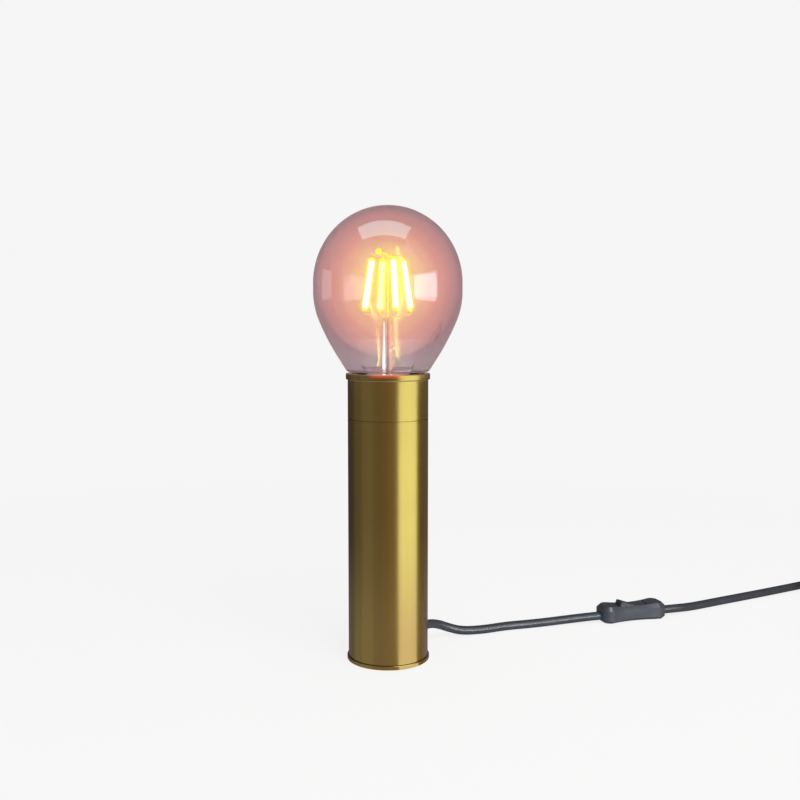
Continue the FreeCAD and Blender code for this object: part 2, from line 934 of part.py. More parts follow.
def make_screw_shell():
    """The lampholder's threaded brass shell: its ridge runs in the groove of the cap's thread."""
    wall = turned(
        "screw_shell_wall_ring",
        [
            ("screw_shell_bore", "screw_shell_bottom"),
            ("screw_shell_bore + screw_shell_wall", "screw_shell_bottom"),
            ("screw_shell_bore + screw_shell_wall", "screw_shell_top"),
            ("screw_shell_bore", "screw_shell_top"),
        ],
    )
    start = size("thread_start - thread_pitch / 2")
    turns = (size("screw_shell_top") - 1.4 - start) / size("thread_pitch")
    ridge = thread_ridge(start, turns, size("holder_ridge_centre"), size("holder_ridge_radius"))
    solid = wall.Shape.fuse(ridge)
    outside = Part.makeCylinder(size("screw_shell_bore + screw_shell_wall"), 40, Vector(0, 0, 150))
    return keep(shaped("screw_shell", solid.common(outside)), "screw_shell")


def make_centre_contact():
    """The springy strip under the bulb's tip, down through the cup's hole."""
    strip = sided(
        "centre_contact",
        [
            ("-5", "tip_bottom - 0.3 - contact_strip"),
            ("2.6", "tip_bottom - 0.3 - contact_strip"),
            ("2.6", "insert_top + 0.1"),
            ("2.6 + contact_strip", "insert_top + 0.1"),
            ("2.6 + contact_strip", "tip_bottom - 0.3"),
            ("-5", "tip_bottom - 0.3"),
        ],
        "contact_half_width",
    )
    return keep(strip, "centre_contact")


def make_holder_terminals():
    """Two brass blocks under the insert, each with a screw from outside."""
    blocks, screws = [], []
    for name, side in (("live", 1), ("neutral", -1)):
        near, far = ("block_near", "block_far") if side > 0 else ("-block_far", "-block_near")
        low = (near, "-block_half_width", "insert_bottom - 0.1 - block_height")
        high = (far, "block_half_width", "insert_bottom - 0.1")
        block = box(f"{name}_block", low, high)
        inner = str(side * 6.5)
        centre = (inner, "0", "insert_bottom - 2.2")
        way = Vector(side, 0, 0)
        hole = cylinder(f"{name}_tapping", "1.5", "8", centre, way)
        blocks.append(cut(f"{name}_terminal", block, hole))
        shank = cylinder(f"{name}_shank", "1.4", "6", centre, way)
        head = cylinder(f"{name}_head", "2.4", "1.6", (str(side * 10.7), "0", "insert_bottom - 2.8"), way)
        screws.append(fused(f"{name}_screw", shank, head))
    keep(group("holder_terminals", blocks), "holder_terminals")
    return keep(group("terminal_screws", screws), "terminal_screws")


def make_holder_wires():
    """The two cores, from the top of the lead to the terminals."""
    wires = []
    for name, side in (("live_core", 1), ("neutral_core", -1)):
        points = [
            (side * 1.35, 0, size("rod_top + 1.3")),
            (side * 1.5, 0, size("rod_top + 4.2")),
            (side * 3.4, 0, size("insert_bottom - 4.6")),
            (side * 5.4, 0, size("insert_bottom - 4.6")),
        ]
        wires.append(tube(name, points, size("core_radius"), report=False))
    return keep(group("holder_wires", wires), "holder_wires")


# ================================================================ bulb


def bulge(start, radius, angle, turned_to):
    """An arc of the glass from a point whose tangent leans by angle, and the arc's end and centre."""
    lean = math.radians(angle)
    centre = start.sub(Vector(radius * math.cos(lean), 0, -radius * math.sin(lean)))
    middle, end = [
        centre.add(Vector(radius * math.cos(at), 0, -radius * math.sin(at)))
        for at in (math.radians((angle + turned_to) / 2), math.radians(turned_to))
    ]
    return Part.Arc(start, middle, end).toShape(), end


def globe_outline(inset):
    """The edges of the glass in the XZ plane from the crown down to the neck, inset by a wall."""
    centre = size("globe_centre")
    radius = size("globe_radius") - inset
    pole = Vector(0, 0, centre + size("globe_crown") - inset)
    equator = Vector(radius, 0, centre)
    dome = Part.ArcOfEllipse(Part.Ellipse(pole, equator, Vector(0, 0, centre)), 0, math.pi / 2)
    belt = Vector(radius, 0, centre - size("globe_band"))
    flank_angle, haunch_angle = size("flank_angle"), size("haunch_angle")
    flank, flank_end = bulge(belt, size("flank_radius") - inset, 0, flank_angle)
    haunch, haunch_end = bulge(flank_end, size("haunch_radius") - inset, flank_angle, haunch_angle)
    # a straight run down to the shoulder, whose lowest point is a given height
    shoulder_radius = size("shoulder_radius") - inset
    lean = math.radians(haunch_angle)
    shoulder_start = size("shoulder_bottom + shoulder_radius") - shoulder_radius * math.sin(lean)
    along = (haunch_end.z - shoulder_start) / math.cos(lean)
    cone_end = haunch_end.sub(Vector(along * math.sin(lean), 0, along * math.cos(lean)))
    shoulder, tuck = bulge(cone_end, shoulder_radius, haunch_angle, size("tuck_angle"))
    neck = size("neck_radius") - inset
    root = Vector(size("root_radius") - inset / 4, 0, size("root_height") + inset)
    neck_top = Vector(neck, 0, size("cap_top") + 0.4 + inset / 2)
    foot = Vector(neck, 0, size("neck_bottom"))
    edges = [
        dome.toShape(),
        Part.LineSegment(equator, belt).toShape(),
        flank,
        haunch,
        Part.LineSegment(haunch_end, cone_end).toShape(),
        shoulder,
        Part.LineSegment(tuck, root).toShape(),
        Part.LineSegment(root, neck_top).toShape(),
        Part.LineSegment(neck_top, foot).toShape(),
    ]
    return edges, pole, foot


def make_bulb_glass():
    outer, outer_pole, outer_foot = globe_outline(0.0)
    inner, inner_pole, inner_foot = globe_outline(size("glass_wall"))
    closing = [
        Part.LineSegment(outer_foot, inner_foot).toShape(),
        Part.LineSegment(inner_pole, outer_pole).toShape(),
    ]
    wire = Part.Wire(Part.__sortEdges__(outer + inner + closing))
    solid = Part.Face(wire).revolve(Vector(0, 0, 0), Vector(0, 0, 1), 360)
    return keep(shaped("bulb_glass", solid), "bulb_glass")


def make_bulb_stem():
    """The flared glass stem that closes the neck and carries the wires."""
    stem = turned(
        "bulb_stem",
        [
            ("0", "neck_bottom + 0.6"),
            ("neck_radius - glass_wall - 0.1", "neck_bottom + 0.6"),
            ("neck_radius - glass_wall - 0.1", "neck_bottom + 2"),
            ("stem_flare", "cap_top + 6"),
            ("stem_waist", "cap_top + 14"),
            ("stem_pinch", "stem_top - 6"),
            ("3.2", "stem_top - 1.2"),
            ("1.8", "stem_top"),
            ("0", "stem_top"),
        ],
    )
    return keep(stem, "bulb_stem")


def filament_ends(number):
    azimuth = size("filament_azimuth") + 90 * number
    foot = polar(size("filament_foot_circle"), azimuth, size("filament_low"))
    head = polar(size("filament_head_circle"), azimuth, size("filament_high"))
    return foot, head


def make_filaments():
    """Four straight luminous sticks that lean in towards the top."""
    for number in range(4):
        foot, head = filament_ends(number)
        way = head.sub(foot)
        name = f"led_filament_{number + 1}"
        where = (str(foot.x), str(foot.y), str(foot.z))
        keep(cylinder(name, "filament_radius", str(way.Length), where, way), name)


def make_centre_post():
    low = "stem_top + 0.05"
    keep(cylinder("centre_post", "post_radius", f"post_top - ({low})", ("0", "0", low)), "centre_post")


def make_filament_arms():
    """Bent wires: from the post's top out to the filaments' heads, and from the stem out to their feet."""
    upper, lower = [], []
    wire_radius = size("wire_radius")
    gap = 0.05
    for number in range(4):
        azimuth = size("filament_azimuth") + 90 * number
        foot, head = filament_ends(number)
        way = head.sub(foot).normalize()
        head_end = head.add(Vector(way).multiply(gap))
        head_lead = head.add(Vector(way).multiply(2.6))
        inward = polar(size("post_radius") + gap, azimuth, size("post_top") - 1.0)
        inward_lead = polar(4.0, azimuth, size("post_top") - 0.6)
        upper.append(tube(f"upper_arm_{number}", [inward, inward_lead, head_lead, head_end], wire_radius, False))
        foot_end = foot.sub(Vector(way).multiply(gap))
        foot_lead = foot.sub(Vector(way).multiply(2.4))
        root = polar(3.3, azimuth, size("stem_top") - 1.0)
        root_lead = polar(6.5, azimuth, size("stem_top") + 0.2)
        lower.append(tube(f"lower_arm_{number}", [root, root_lead, foot_lead, foot_end], wire_radius, False))
    keep(group("upper_arms", upper), "upper_arms")
    keep(group("lower_arms", lower), "lower_arms")


def make_bulb_cap():
    """The cap's thin shell with its rolled thread."""
    wall = turned(
        "bulb_cap_wall",
        [
            ("cap_root - cap_wall", "cap_bottom"),
            ("cap_root", "cap_bottom"),
            ("cap_root", "cap_skirt_bottom - cap_funnel"),
            ("cap_skirt_radius", "cap_skirt_bottom"),
            ("cap_skirt_radius", "cap_top"),
            ("cap_skirt_radius - cap_wall", "cap_top"),
            ("cap_skirt_radius - cap_wall", "cap_skirt_bottom + 0.4"),
            ("cap_root - cap_wall", "cap_skirt_bottom - cap_funnel + 0.4"),
        ],
    )
    start = size("thread_start")
    turns = size("thread_length / thread_pitch")
    ridge = thread_ridge(start, turns, size("cap_ridge_centre"), size("cap_ridge_radius"))
    outside = Part.makeCylinder(20, 40, Vector(0, 0, 150))
    bore = Part.makeCylinder(size("cap_root") - 0.25, 40, Vector(0, 0, 150))
    solid = wall.Shape.fuse(ridge.common(outside.cut(bore)))
    return keep(shaped("bulb_cap", solid), "bulb_cap")


def make_bulb_insulator():
    disc = turned(
        "bulb_insulator",
        [
            ("insulator_bore", "tip_bottom + insulator_rise"),
            ("insulator_face", "tip_bottom + insulator_rise"),
            ("cap_root - cap_wall - 0.1", "cap_bottom"),
            ("cap_root - cap_wall - 0.1", "cap_bottom + insulator_rise"),
            ("insulator_bore", "cap_bottom + insulator_rise"),
        ],
    )
    return keep(disc, "bulb_insulator")


def make_bulb_contact():
    """The rivet in the insulator's middle, which touches the lampholder's strip."""
    rivet = turned(
        "bulb_contact",
        [
            ("0", "tip_bottom"),
            ("tip_face", "tip_bottom"),
            ("tip_radius", "tip_bottom + 0.7"),
            ("tip_radius", "tip_bottom + 1.3"),
            ("tip_rivet", "tip_bottom + 1.3"),
            ("tip_rivet", "cap_bottom + 2.4"),
            ("0", "cap_bottom + 2.4"),
        ],
    )
    return keep(rivet, "bulb_contact")


def make_driver():
    """The small driver inside the cap: a board on edge and its capacitor."""
    low = "cap_bottom + 4.4"
    near = ("-board_half", "-board_thickness / 2", low)
    far = ("board_half", "board_thickness / 2", f"{low} + board_height")
    keep(box("driver_board", near, far), "driver_board")
    where = ("0", "board_thickness / 2 + capacitor_radius + 0.3", f"{low} + 1")
    keep(cylinder("driver_capacitor", "capacitor_radius", "capacitor_height", where), "driver_capacitor")


# ================================================================ switch on the cord


def switch_outline():
    """Half turns of a dog bone: lobes at the ends, a waist between, seen from above."""
    right, left = "switch_half", "-switch_half"
    lobe_right, lobe_left = "switch_lobe_at", "-switch_lobe_at"
    waist = "(switch_lobe_at^2 + (switch_lobe - switch_waist)^2) / (2 * (switch_lobe - switch_waist))"
    return [
        (left, "-switch_end_face", "switch_corner"),
        (lobe_left, "-switch_lobe", f"-({waist})"),
        (lobe_right, "-switch_lobe", "switch_corner"),
        (right, "-switch_end_face"),
        (right, "switch_end_face", "switch_corner"),
        (lobe_right, "switch_lobe", f"-({waist})"),
        (lobe_left, "switch_lobe", "switch_corner"),
        (left, "switch_end_face"),
    ]


def switch_screw_places():
    return [("switch_lobe_at", "-6"), ("-switch_lobe_at", "6")]


def cord_bore(name):
    """The bore that the lead runs through, from end to end of the housing."""
    return cylinder(name, "cord_radius + 0.1", "60", ("-30", "0", "switch_parting"), Vector(1, 0, 0))


def make_switch_base():
    """The lower shell."""
    block = padded(
        "switch_base_block", switch_outline(), "0", "switch_parting", bevel_low="switch_foot_bevel"
    )
    low = ("-cavity_half", "-cavity_width", "cavity_floor")
    high = ("cavity_half", "cavity_width", "switch_parting + 1")
    tools = [fused("switch_base_hollow", box("base_cavity", low, high), cord_bore("base_cord_bore"))]
    for number, (u, v) in enumerate(switch_screw_places()):
        shank = cylinder(f"base_screw_hole_{number}", "1.0", "6", (u, v, "-0.5"))
        head = cylinder(f"base_counterbore_{number}", "1.8", "2", (u, v, "-0.5"))
        tools.append(fused(f"base_screw_opening_{number}", shank, head))
    return keep(in_switch(cut("switch_base", block, *tools)), "switch_base")


def make_switch_cover():
    """The upper shell, with a saddle between its ends and an opening for the rocker."""
    block = padded(
        "switch_cover_block",
        switch_outline(),
        "switch_parting + 0.02",
        "switch_top",
        bevel_high="switch_bevel",
    )
    low = ("-cavity_half", "-cavity_width", "switch_parting - 1")
    high = ("cavity_half", "cavity_width", "cavity_roof")
    hollow = box("cover_cavity", low, high)
    window = box(
        "rocker_window",
        ("-rocker_reach - rocker_gap", "-rocker_width - rocker_gap", "cavity_roof - 1"),
        ("rocker_reach + rocker_gap", "rocker_width + rocker_gap", "switch_top + 3"),
    )
    socket_half = "cavity_width + 1.1"
    sockets = cylinder(
        "pin_sockets",
        "pin_radius + 0.02",
        f"2 * ({socket_half})",
        ("0", f"-({socket_half})", "rocker_pivot"),
        Vector(0, 1, 0),
    )
    inside = fused("cover_hollow", hollow, window, sockets, cord_bore("cover_cord_bore"))
    saddle = cylinder(
        "saddle",
        "switch_saddle_radius",
        "40",
        ("0", "-20", "switch_saddle + switch_saddle_radius"),
        Vector(0, 1, 0),
    )
    tapped = cut("switch_cover_hollowed", block, inside)
    holes = []
    for number, (u, v) in enumerate(switch_screw_places()):
        holes.append(cylinder(f"cover_screw_hole_{number}", "0.95", "5.2", (u, v, "switch_parting - 1")))
    drilled = cut("switch_cover_drilled", tapped, *holes)
    return keep(in_switch(cut("switch_cover", drilled, saddle)), "switch_cover")


def make_cover_screws():
    screws = []
    for number, (u, v) in enumerate(switch_screw_places()):
        head = cylinder(f"cover_screw_head_{number}", "1.7", "1.1", (u, v, "0.3"))
        shank = cylinder(f"cover_screw_shank_{number}", "0.9", "7.6", (u, v, "0.3"))
        screws.append(fused(f"cover_screw_{number}", head, shank))
    return keep(in_switch(group("cover_screws", screws)), "cover_screws")


def lean(thing):
    """Turns a piece about the rocker's pin to its rest, with the end towards the lamp up."""
    turn = Rotation(Vector(0, 1, 0), size("rocker_lean"))
    raised = Placement(Vector(0, 0, size("rocker_pivot")), turn)
    switch = Placement(
        Vector(size("switch_x"), size("switch_y"), 0), Rotation(Vector(0, 0, 1), size("switch_yaw"))
    )
    thing.Placement = switch.multiply(raised)
    return thing


def make_rocker():
    """The rocker, drawn level about its pin: a shallow V on top, a boat below."""
    top_end = "sqrt(rocker_reach^2 - rocker_crown^2)"
    low_end = "sqrt(rocker_reach^2 - rocker_belly^2)"
    blank = sided(
        "rocker_blank",
        [
            (f"-{top_end}", "rocker_crown", "rocker_reach"),
            (f"-{low_end}", "rocker_belly"),
            ("-rocker_foot_half", "-rocker_foot"),
            ("rocker_foot_half", "-rocker_foot"),
            (low_end, "rocker_belly", "rocker_reach"),
            (top_end, "rocker_crown"),
            ("0", "rocker_valley"),
        ],
        "rocker_width",
    )
    hole = cylinder("rocker_bore", "pin_radius + 0.05", "12", ("0", "-6", "0"), Vector(0, 1, 0))
    keep(lean(cut("rocker", blank, hole)), "rocker")
    strip = sided(
        "contact_bridge",
        [("-7.5", "-2.65"), ("7.5", "-2.65"), ("7.5", "-2.25"), ("-7.5", "-2.25")],
        "contact_half",
    )
    keep(lean(strip), "contact_bridge")


def make_rocker_pin():
    half = "cavity_width + 1.05"
    base = ("0", f"-({half})", "rocker_pivot")
    pin = cylinder("pin_blank", "pin_radius", f"2 * ({half})", base, Vector(0, 1, 0))
    return keep(in_switch(group("rocker_pin", [pin])), "rocker_pin")


def make_switch_contacts():
    """A common strip under the rocker's middle, a make contact under one end, and their terminals."""
    common = sided(
        "common_strip",
        [
            ("-12", "2.1"),
            ("0.3 + contact_thickness", "2.1"),
            ("0.3 + contact_thickness", "5.55"),
            ("0.3", "5.55"),
            ("0.3", "2.1 + contact_thickness"),
            ("-12", "2.1 + contact_thickness"),
        ],
        "contact_half",
    )
    make = sided(
        "make_strip",
        [
            ("6.6", "4.45"),
            ("6.6", "2.1"),
            ("12", "2.1"),
            ("12", "2.1 + contact_thickness"),
            ("6.6 + contact_thickness", "2.1 + contact_thickness"),
            ("6.6 + contact_thickness", "4.45"),
        ],
        "contact_half",
    )
    keep(in_switch(group("fixed_contacts", [common, make])), "fixed_contacts")
    blocks, screws = [], []
    sides = (("in", "-terminal_far", "-terminal_near"), ("out", "terminal_near", "terminal_far"))
    for name, low_u, high_u in sides:
        middle = f"({low_u} + {high_u}) / 2"
        low = (low_u, "-terminal_half", "cavity_floor + 0.1")
        block = box(f"terminal_{name}", low, (high_u, "terminal_half", "terminal_top"))
        hole = cylinder(f"terminal_tapping_{name}", "1.25", "6", (middle, "0", "3.2"))
        blocks.append(cut(f"terminal_block_{name}", block, hole))
        shank = cylinder(f"terminal_shank_{name}", "1.2", "4.2", (middle, "0", "3.3"))
        head = cylinder(f"terminal_head_{name}", "terminal_half - 0.1", "1.2", (middle, "0", "terminal_top + 0.1"))
        screws.append(fused(f"terminal_screw_{name}", shank, head))
    keep(in_switch(group("switch_terminals", blocks)), "switch_terminals")
    keep(in_switch(group("switch_terminal_screws", screws)), "switch_terminal_screws")


def make_switch_leads():
    """The lead's two ends inside the housing, their clamp bars, and the cores."""
    stubs, bars, cores = [], [], []
    for name, side in (("near", -1), ("far", 1)):
        way = Vector(-side, 0, 0)
        base = (f"{side} * switch_half", "0", "switch_parting")
        stubs.append(cylinder(f"stub_{name}", "lead_radius", "stub_length", base, way))
        low, high = sorted((side * size("clamp_near"), side * size("clamp_far")))
        corner = (str(low), "-clamp_half", "switch_parting + lead_radius + 0.05")
        opposite = (str(high), "clamp_half", "switch_parting + lead_radius + 0.05 + clamp_thickness")
        bars.append(box(f"clamp_{name}", corner, opposite))
        core_base = (f"{side} * (switch_half - stub_length - 0.05)", "-1.2", "switch_parting")
        core_length = "switch_half - stub_length - terminal_far - 0.15"
        cores.append(cylinder(f"live_{name}", "live_core_radius", core_length, core_base, way))
    height = size("switch_parting")
    stub_end = size("switch_half - stub_length - 0.05")
    half = [(stub_end, 1.3, height), (19.2, 1.3, height), (17.9, 3.75, 3.6), (11.5, 3.75, 2.7)]
    through = [(-u, v, z) for u, v, z in half] + half[::-1]
    cores.append(tube("neutral_through", through, size("neutral_core_radius"), report=False))
    keep(in_switch(group("switch_leads", stubs)), "switch_leads")
    keep(in_switch(group("cord_clamps", bars)), "cord_clamps")
    keep(in_switch(group("switch_cores", cores)), "switch_cores")


# ================================================================ cord, coil and plug


def make_cord(name, route):
    return keep(tube(name, route, size("cord_radius")), name)


def coil_frame():
    """The coil's centre and start angle, from where the cord comes to it and which way it runs."""
    before, last = [Vector(*point) for point in ROUTE_TO_COIL[-2:]]
    way = last.sub(before)
    way.z = 0
    way.normalize()
    start = last.add(Vector(way).multiply(2 * size("cord_radius")))
    right = Vector(way.y, -way.x, 0)
    centre = start.add(right.multiply(size("coil_outer")))
    centre.z = 0
    return centre, math.degrees(math.atan2(start.y - centre.y, start.x - centre.x)), way


def make_cord_coil():
    """The put-away length: one unbroken tube, in and out again in two layers."""
    centre, start_angle, way = coil_frame()
    turns = size("coil_turns")
    quarters = int(turns * 4)
    step = 1e-4
    points = [coil_point(turns * n / quarters, centre, start_angle) for n in range(quarters + 1)]
    ways = []
    for n in range(quarters + 1):
        at = turns * n / quarters
        before = coil_point(max(0.0, at - step), centre, start_angle)
        after = coil_point(min(turns, at + step), centre, start_angle)
        ways.append(after.sub(before).normalize())
    lead_in = points[0].sub(Vector(ways[0]).multiply(2 * size("cord_radius")))
    lead_out = points[-1].add(Vector(ways[-1]).multiply(2 * size("cord_radius")))
    edges = [Part.LineSegment(lead_in, points[0]).toShape()]
    for n in range(quarters):
        edges += biarc(points[n], ways[n], points[n + 1], ways[n + 1])
    edges.append(Part.LineSegment(points[-1], lead_out).toShape())
    wire = Part.Wire(edges)
    solid = swept(wire, size("cord_radius"))
    expected = math.pi * size("cord_radius") ** 2 * wire.Length
    gap = least_gap(centre, start_angle)
    print(f"cord_coil: length {wire.Length:.1f} mm, least gap to itself {gap:.2f} mm")
    print(f"cord_coil: volume {solid.Volume:.0f} of {expected:.0f} cubic mm, centre {centre}")
    print(f"cord_coil: from {lead_in} to {lead_out}")
    if gap < LEAST_COIL_GAP or abs(solid.Volume / expected - 1) > 0.01:
        raise RuntimeError("the coil's turns meet, or its tube is not whole")
    return keep(shaped("cord_coil", solid), "cord_coil")


def least_gap(centre, start_angle):
    """The least space between two turns of the coil, measured on points of its centre line."""
    per_turn = 48
    total = int(size("coil_turns") * per_turn)
    line = [coil_point(n / per_turn, centre, start_angle) for n in range(total + 1)]
    apart = per_turn // 2
    nearest = min(
        line[first].distanceToPoint(line[second])
        for first in range(0, total - apart)
        for second in range(first + apart, total)
    )
    return nearest - 2 * size("cord_radius")


def make_coil_tie():
    """A flat strap round the coil's bundle, on the side away from the cord's two ends."""
    centre, start_angle, _ = coil_frame()
    share = 0.29  # of a turn, from the coil's start to the strap
    passes = [share + n for n in range(int(size("coil_turns") - share) + 1)]
    reaches = [coil_point(turns, Vector(0, 0, 0), start_angle) for turns in passes]
    radii = [math.hypot(reach.x, reach.y) for reach in reaches]
    strap, width, play = size("strap_thickness"), size("strap_width"), size("strap_play")
    inner = math.sqrt((min(radii) - size("cord_radius") - play) ** 2 - width ** 2 / 4)
    outer = max(radii) + size("cord_radius") + play
    top = size("coil_height + coil_pitch + cord_radius") + 0.2
    around = Part.makeBox(
        outer - inner + 2 * strap, width, top + strap, Vector(inner - strap, -width / 2, 0)
    )
    hollow = Part.makeBox(outer - inner, width + 2, top - strap, Vector(inner, -width / 2 - 1, strap))
    placement = Placement(centre, Rotation(Vector(0, 0, 1), start_angle - 360 * share))
    return keep(shaped("coil_tie", around.cut(hollow), placement), "coil_tie")


def make_plug_relief():
    """The tapered tail behind the plug."""
    tail = turned(
        "plug_relief",
        [
            ("0", "-plug_relief"),
            ("cord_radius + relief_tail_wall", "-plug_relief"),
            ("plug_relief_root", "-1"),
            ("plug_relief_root", "0"),
            ("0", "0"),
        ],
    )
    yaw = Rotation(Vector(0, 0, 1), size("plug_yaw"))
    tail.Placement = Placement(
        Vector(PLUG_AT.x, PLUG_AT.y, size("plug_axis")),
        yaw.multiply(Rotation(Vector(0, 0, 1), Vector(1, 0, 0))),
    )
    return keep(tail, "plug_relief")


def make_plug_body():
    """The flat moulded body, narrow at the cord and wide at the pins."""
    outline = [
        ("0.02", "-plug_back_half"),
        ("plug_shoulder", "-plug_half_width", "plug_flank_radius"),
        ("plug_length - plug_nose", "-plug_half_width"),
        ("plug_length", "-plug_half_width + plug_nose"),
        ("plug_length", "plug_half_width - plug_nose"),
        ("plug_length - plug_nose", "plug_half_width", "plug_flank_radius"),
        ("plug_shoulder", "plug_half_width"),
        ("0.02", "plug_back_half"),
    ]
    height = "2 * plug_axis"
    block = padded("plug_body", outline, "0", height, bevel_high="plug_bevel", bevel_low="plug_bevel")
    return keep(in_plug(block), "plug_body")


def make_plug_pins():
    """Two round pins, the half next to the body in an insulating sleeve."""
    pins, sleeves = [], []
    for name, side in (("a", -1), ("b", 1)):
        offset = str(side * size("plug_pin_offset"))
        face = ("plug_length + 0.02", offset, "plug_axis")
        bare = ("plug_length + plug_sleeve_length", offset, "plug_axis")
        along = Vector(1, 0, 0)
        core = cylinder(f"pin_core_{name}", "plug_core_radius", "plug_sleeve_length", face, along)
        tip_length = "plug_pin_length - plug_sleeve_length"
        tip = cylinder(f"pin_tip_{name}", "plug_pin_radius", tip_length, bare, along)
        pins.append(fused(f"pin_{name}", core, tip))
        sleeve_length = "plug_sleeve_length - 0.1"
        around = cylinder(f"sleeve_outer_{name}", "plug_sleeve_radius", sleeve_length, face, along)
        bore_length = "plug_sleeve_length + 1"
        bore = cylinder(f"sleeve_bore_{name}", "plug_core_radius + 0.05", bore_length, face, along)
        sleeves.append(cut(f"sleeve_{name}", around, bore))
    keep(in_plug(group("plug_pins", pins)), "plug_pins")
    keep(in_plug(group("pin_sleeves", sleeves)), "pin_sleeves")


# ================================================================ the whole lamp

PLUG_WAY = polar(1, size("plug_yaw"))
PLUG_AT = Vector(*ROUTE_TO_PLUG[-1]).add(Vector(PLUG_WAY).multiply(size("plug_relief")))

make_felt_pad()
make_base_plate()
make_base_screws()
make_ballast_weight()
make_strain_relief()
make_tube()
make_sleeve_coupler()
make_top_sleeve()
make_rim_cap()
make_threaded_rod()
make_rod_nuts()
make_rod_washers()
make_inner_lead()
make_holder_base()
make_holder_skirt()
make_shade_ring("shade_ring_lower", "rim_underside - 2.3", "rim_underside + 0.2", "shade_ring_low_radius")
make_shade_ring("shade_ring_upper", "deck_top + 0.05", "rim_top - 0.1", "shade_ring_high_radius")
make_holder_insert()
make_shell_support()
make_screw_shell()
make_centre_contact()
make_holder_terminals()
make_holder_wires()
make_bulb_glass()
make_bulb_stem()
make_filaments()
make_centre_post()
make_filament_arms()
make_bulb_cap()
make_bulb_insulator()
make_bulb_contact()
make_driver()
make_switch_base()
make_switch_cover()
make_cover_screws()
make_rocker()
make_rocker_pin()
make_switch_contacts()
make_switch_leads()
make_cord("cord_to_switch", ROUTE_TO_SWITCH)
make_cord("cord_to_coil", ROUTE_TO_COIL)
make_cord_coil()
make_coil_tie()
make_cord("cord_to_plug", ROUTE_TO_PLUG)
make_plug_relief()
make_plug_body()
make_plug_pins()

document.recompute()

failed = [thing.Name for thing in document.Objects if {"Invalid", "Error"} & set(thing.State)]
if failed:
    raise RuntimeError(f"these did not compute: {failed}")
for piece in pieces:
    if piece.Shape.isNull() or not piece.Shape.isValid() or not piece.Shape.Solids:
        raise RuntimeError(f"{piece.Label} has no valid solid")

os.makedirs("parts", exist_ok=True)
for piece in pieces:
    piece.Shape.exportStep(f"parts/{piece.Label}.step")
print(f"{len(pieces)} pieces written")
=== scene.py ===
import logging
import math
from dataclasses import dataclass, field
from enum import Enum
from typing import Any, Callable, Iterable, Sequence

import bmesh
import bpy
from mathutils import Euler, Matrix, Vector


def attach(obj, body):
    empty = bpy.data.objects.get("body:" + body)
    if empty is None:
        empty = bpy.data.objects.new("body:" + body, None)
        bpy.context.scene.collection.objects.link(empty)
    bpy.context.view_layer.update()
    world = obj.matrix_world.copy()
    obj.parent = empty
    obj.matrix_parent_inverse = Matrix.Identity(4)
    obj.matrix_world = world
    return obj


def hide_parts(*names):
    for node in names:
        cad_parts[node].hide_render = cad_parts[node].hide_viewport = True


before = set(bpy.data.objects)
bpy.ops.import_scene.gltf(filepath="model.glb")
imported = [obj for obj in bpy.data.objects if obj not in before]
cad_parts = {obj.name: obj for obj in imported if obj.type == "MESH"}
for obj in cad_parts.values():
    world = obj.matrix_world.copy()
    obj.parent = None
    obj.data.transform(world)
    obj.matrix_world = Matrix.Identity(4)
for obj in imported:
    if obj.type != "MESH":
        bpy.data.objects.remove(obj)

LOG = logging.getLogger("lamp")
MM = 0.001
Colour = tuple[float, float, float]
Point = tuple[float, float, float]
Ring = list[bmesh.types.BMVert]
Outline = Sequence[tuple[float, float]]
Profile = tuple[tuple[float, float], ...]
Socket = bpy.types.NodeSocket
Material = bpy.types.Material
Piece = bpy.types.Object
Shape = bmesh.types.BMesh

SHARP_ANGLE = 35.0


# ---------------------------------------------------------------- shader building


class Signal:
    """A number on its way between nodes; arithmetic on it adds Math nodes."""

    def __init__(self, paint: "Paint", socket: Socket) -> None:
        """Wraps an output socket of one of the paint's nodes."""
        self.paint = paint
        self.socket = socket

    def math(self, operation: str, *values: Any) -> "Signal":
        """Adds a Math node.

        Args:
            operation: the Math node's operation.
            values: its inputs in order, numbers or signals.

        Returns:
            The node's result.
        """
        node = self.paint.node("ShaderNodeMath", {"operation": operation}, dict(enumerate(values)))
        return Signal(self.paint, node.outputs[0])

    def __add__(self, other: Any) -> "Signal":
        """The sum."""
        return self.math("ADD", self, other)

    __radd__ = __add__

    def __sub__(self, other: Any) -> "Signal":
        """The difference."""
        return self.math("SUBTRACT", self, other)

    def __rsub__(self, other: Any) -> "Signal":
        """The difference from a number."""
        return self.math("SUBTRACT", other, self)

    def __mul__(self, other: Any) -> "Signal":
        """The product."""
        return self.math("MULTIPLY", self, other)

    __rmul__ = __mul__

    def __truediv__(self, other: Any) -> "Signal":
        """The quotient."""
        return self.math("DIVIDE", self, other)

    def __pow__(self, other: Any) -> "Signal":
        """The power."""
        return self.math("POWER", self, other)

    def step(self, low: float, high: float) -> "Signal":
        """0 below low, 1 above high and smooth between; low may be the greater."""
        node = self.paint.node(
            "ShaderNodeMapRange",
            {"interpolation_type": "SMOOTHSTEP"},
            {"Value": self, "From Min": low, "From Max": high},
        )
        return Signal(self.paint, node.outputs["Result"])


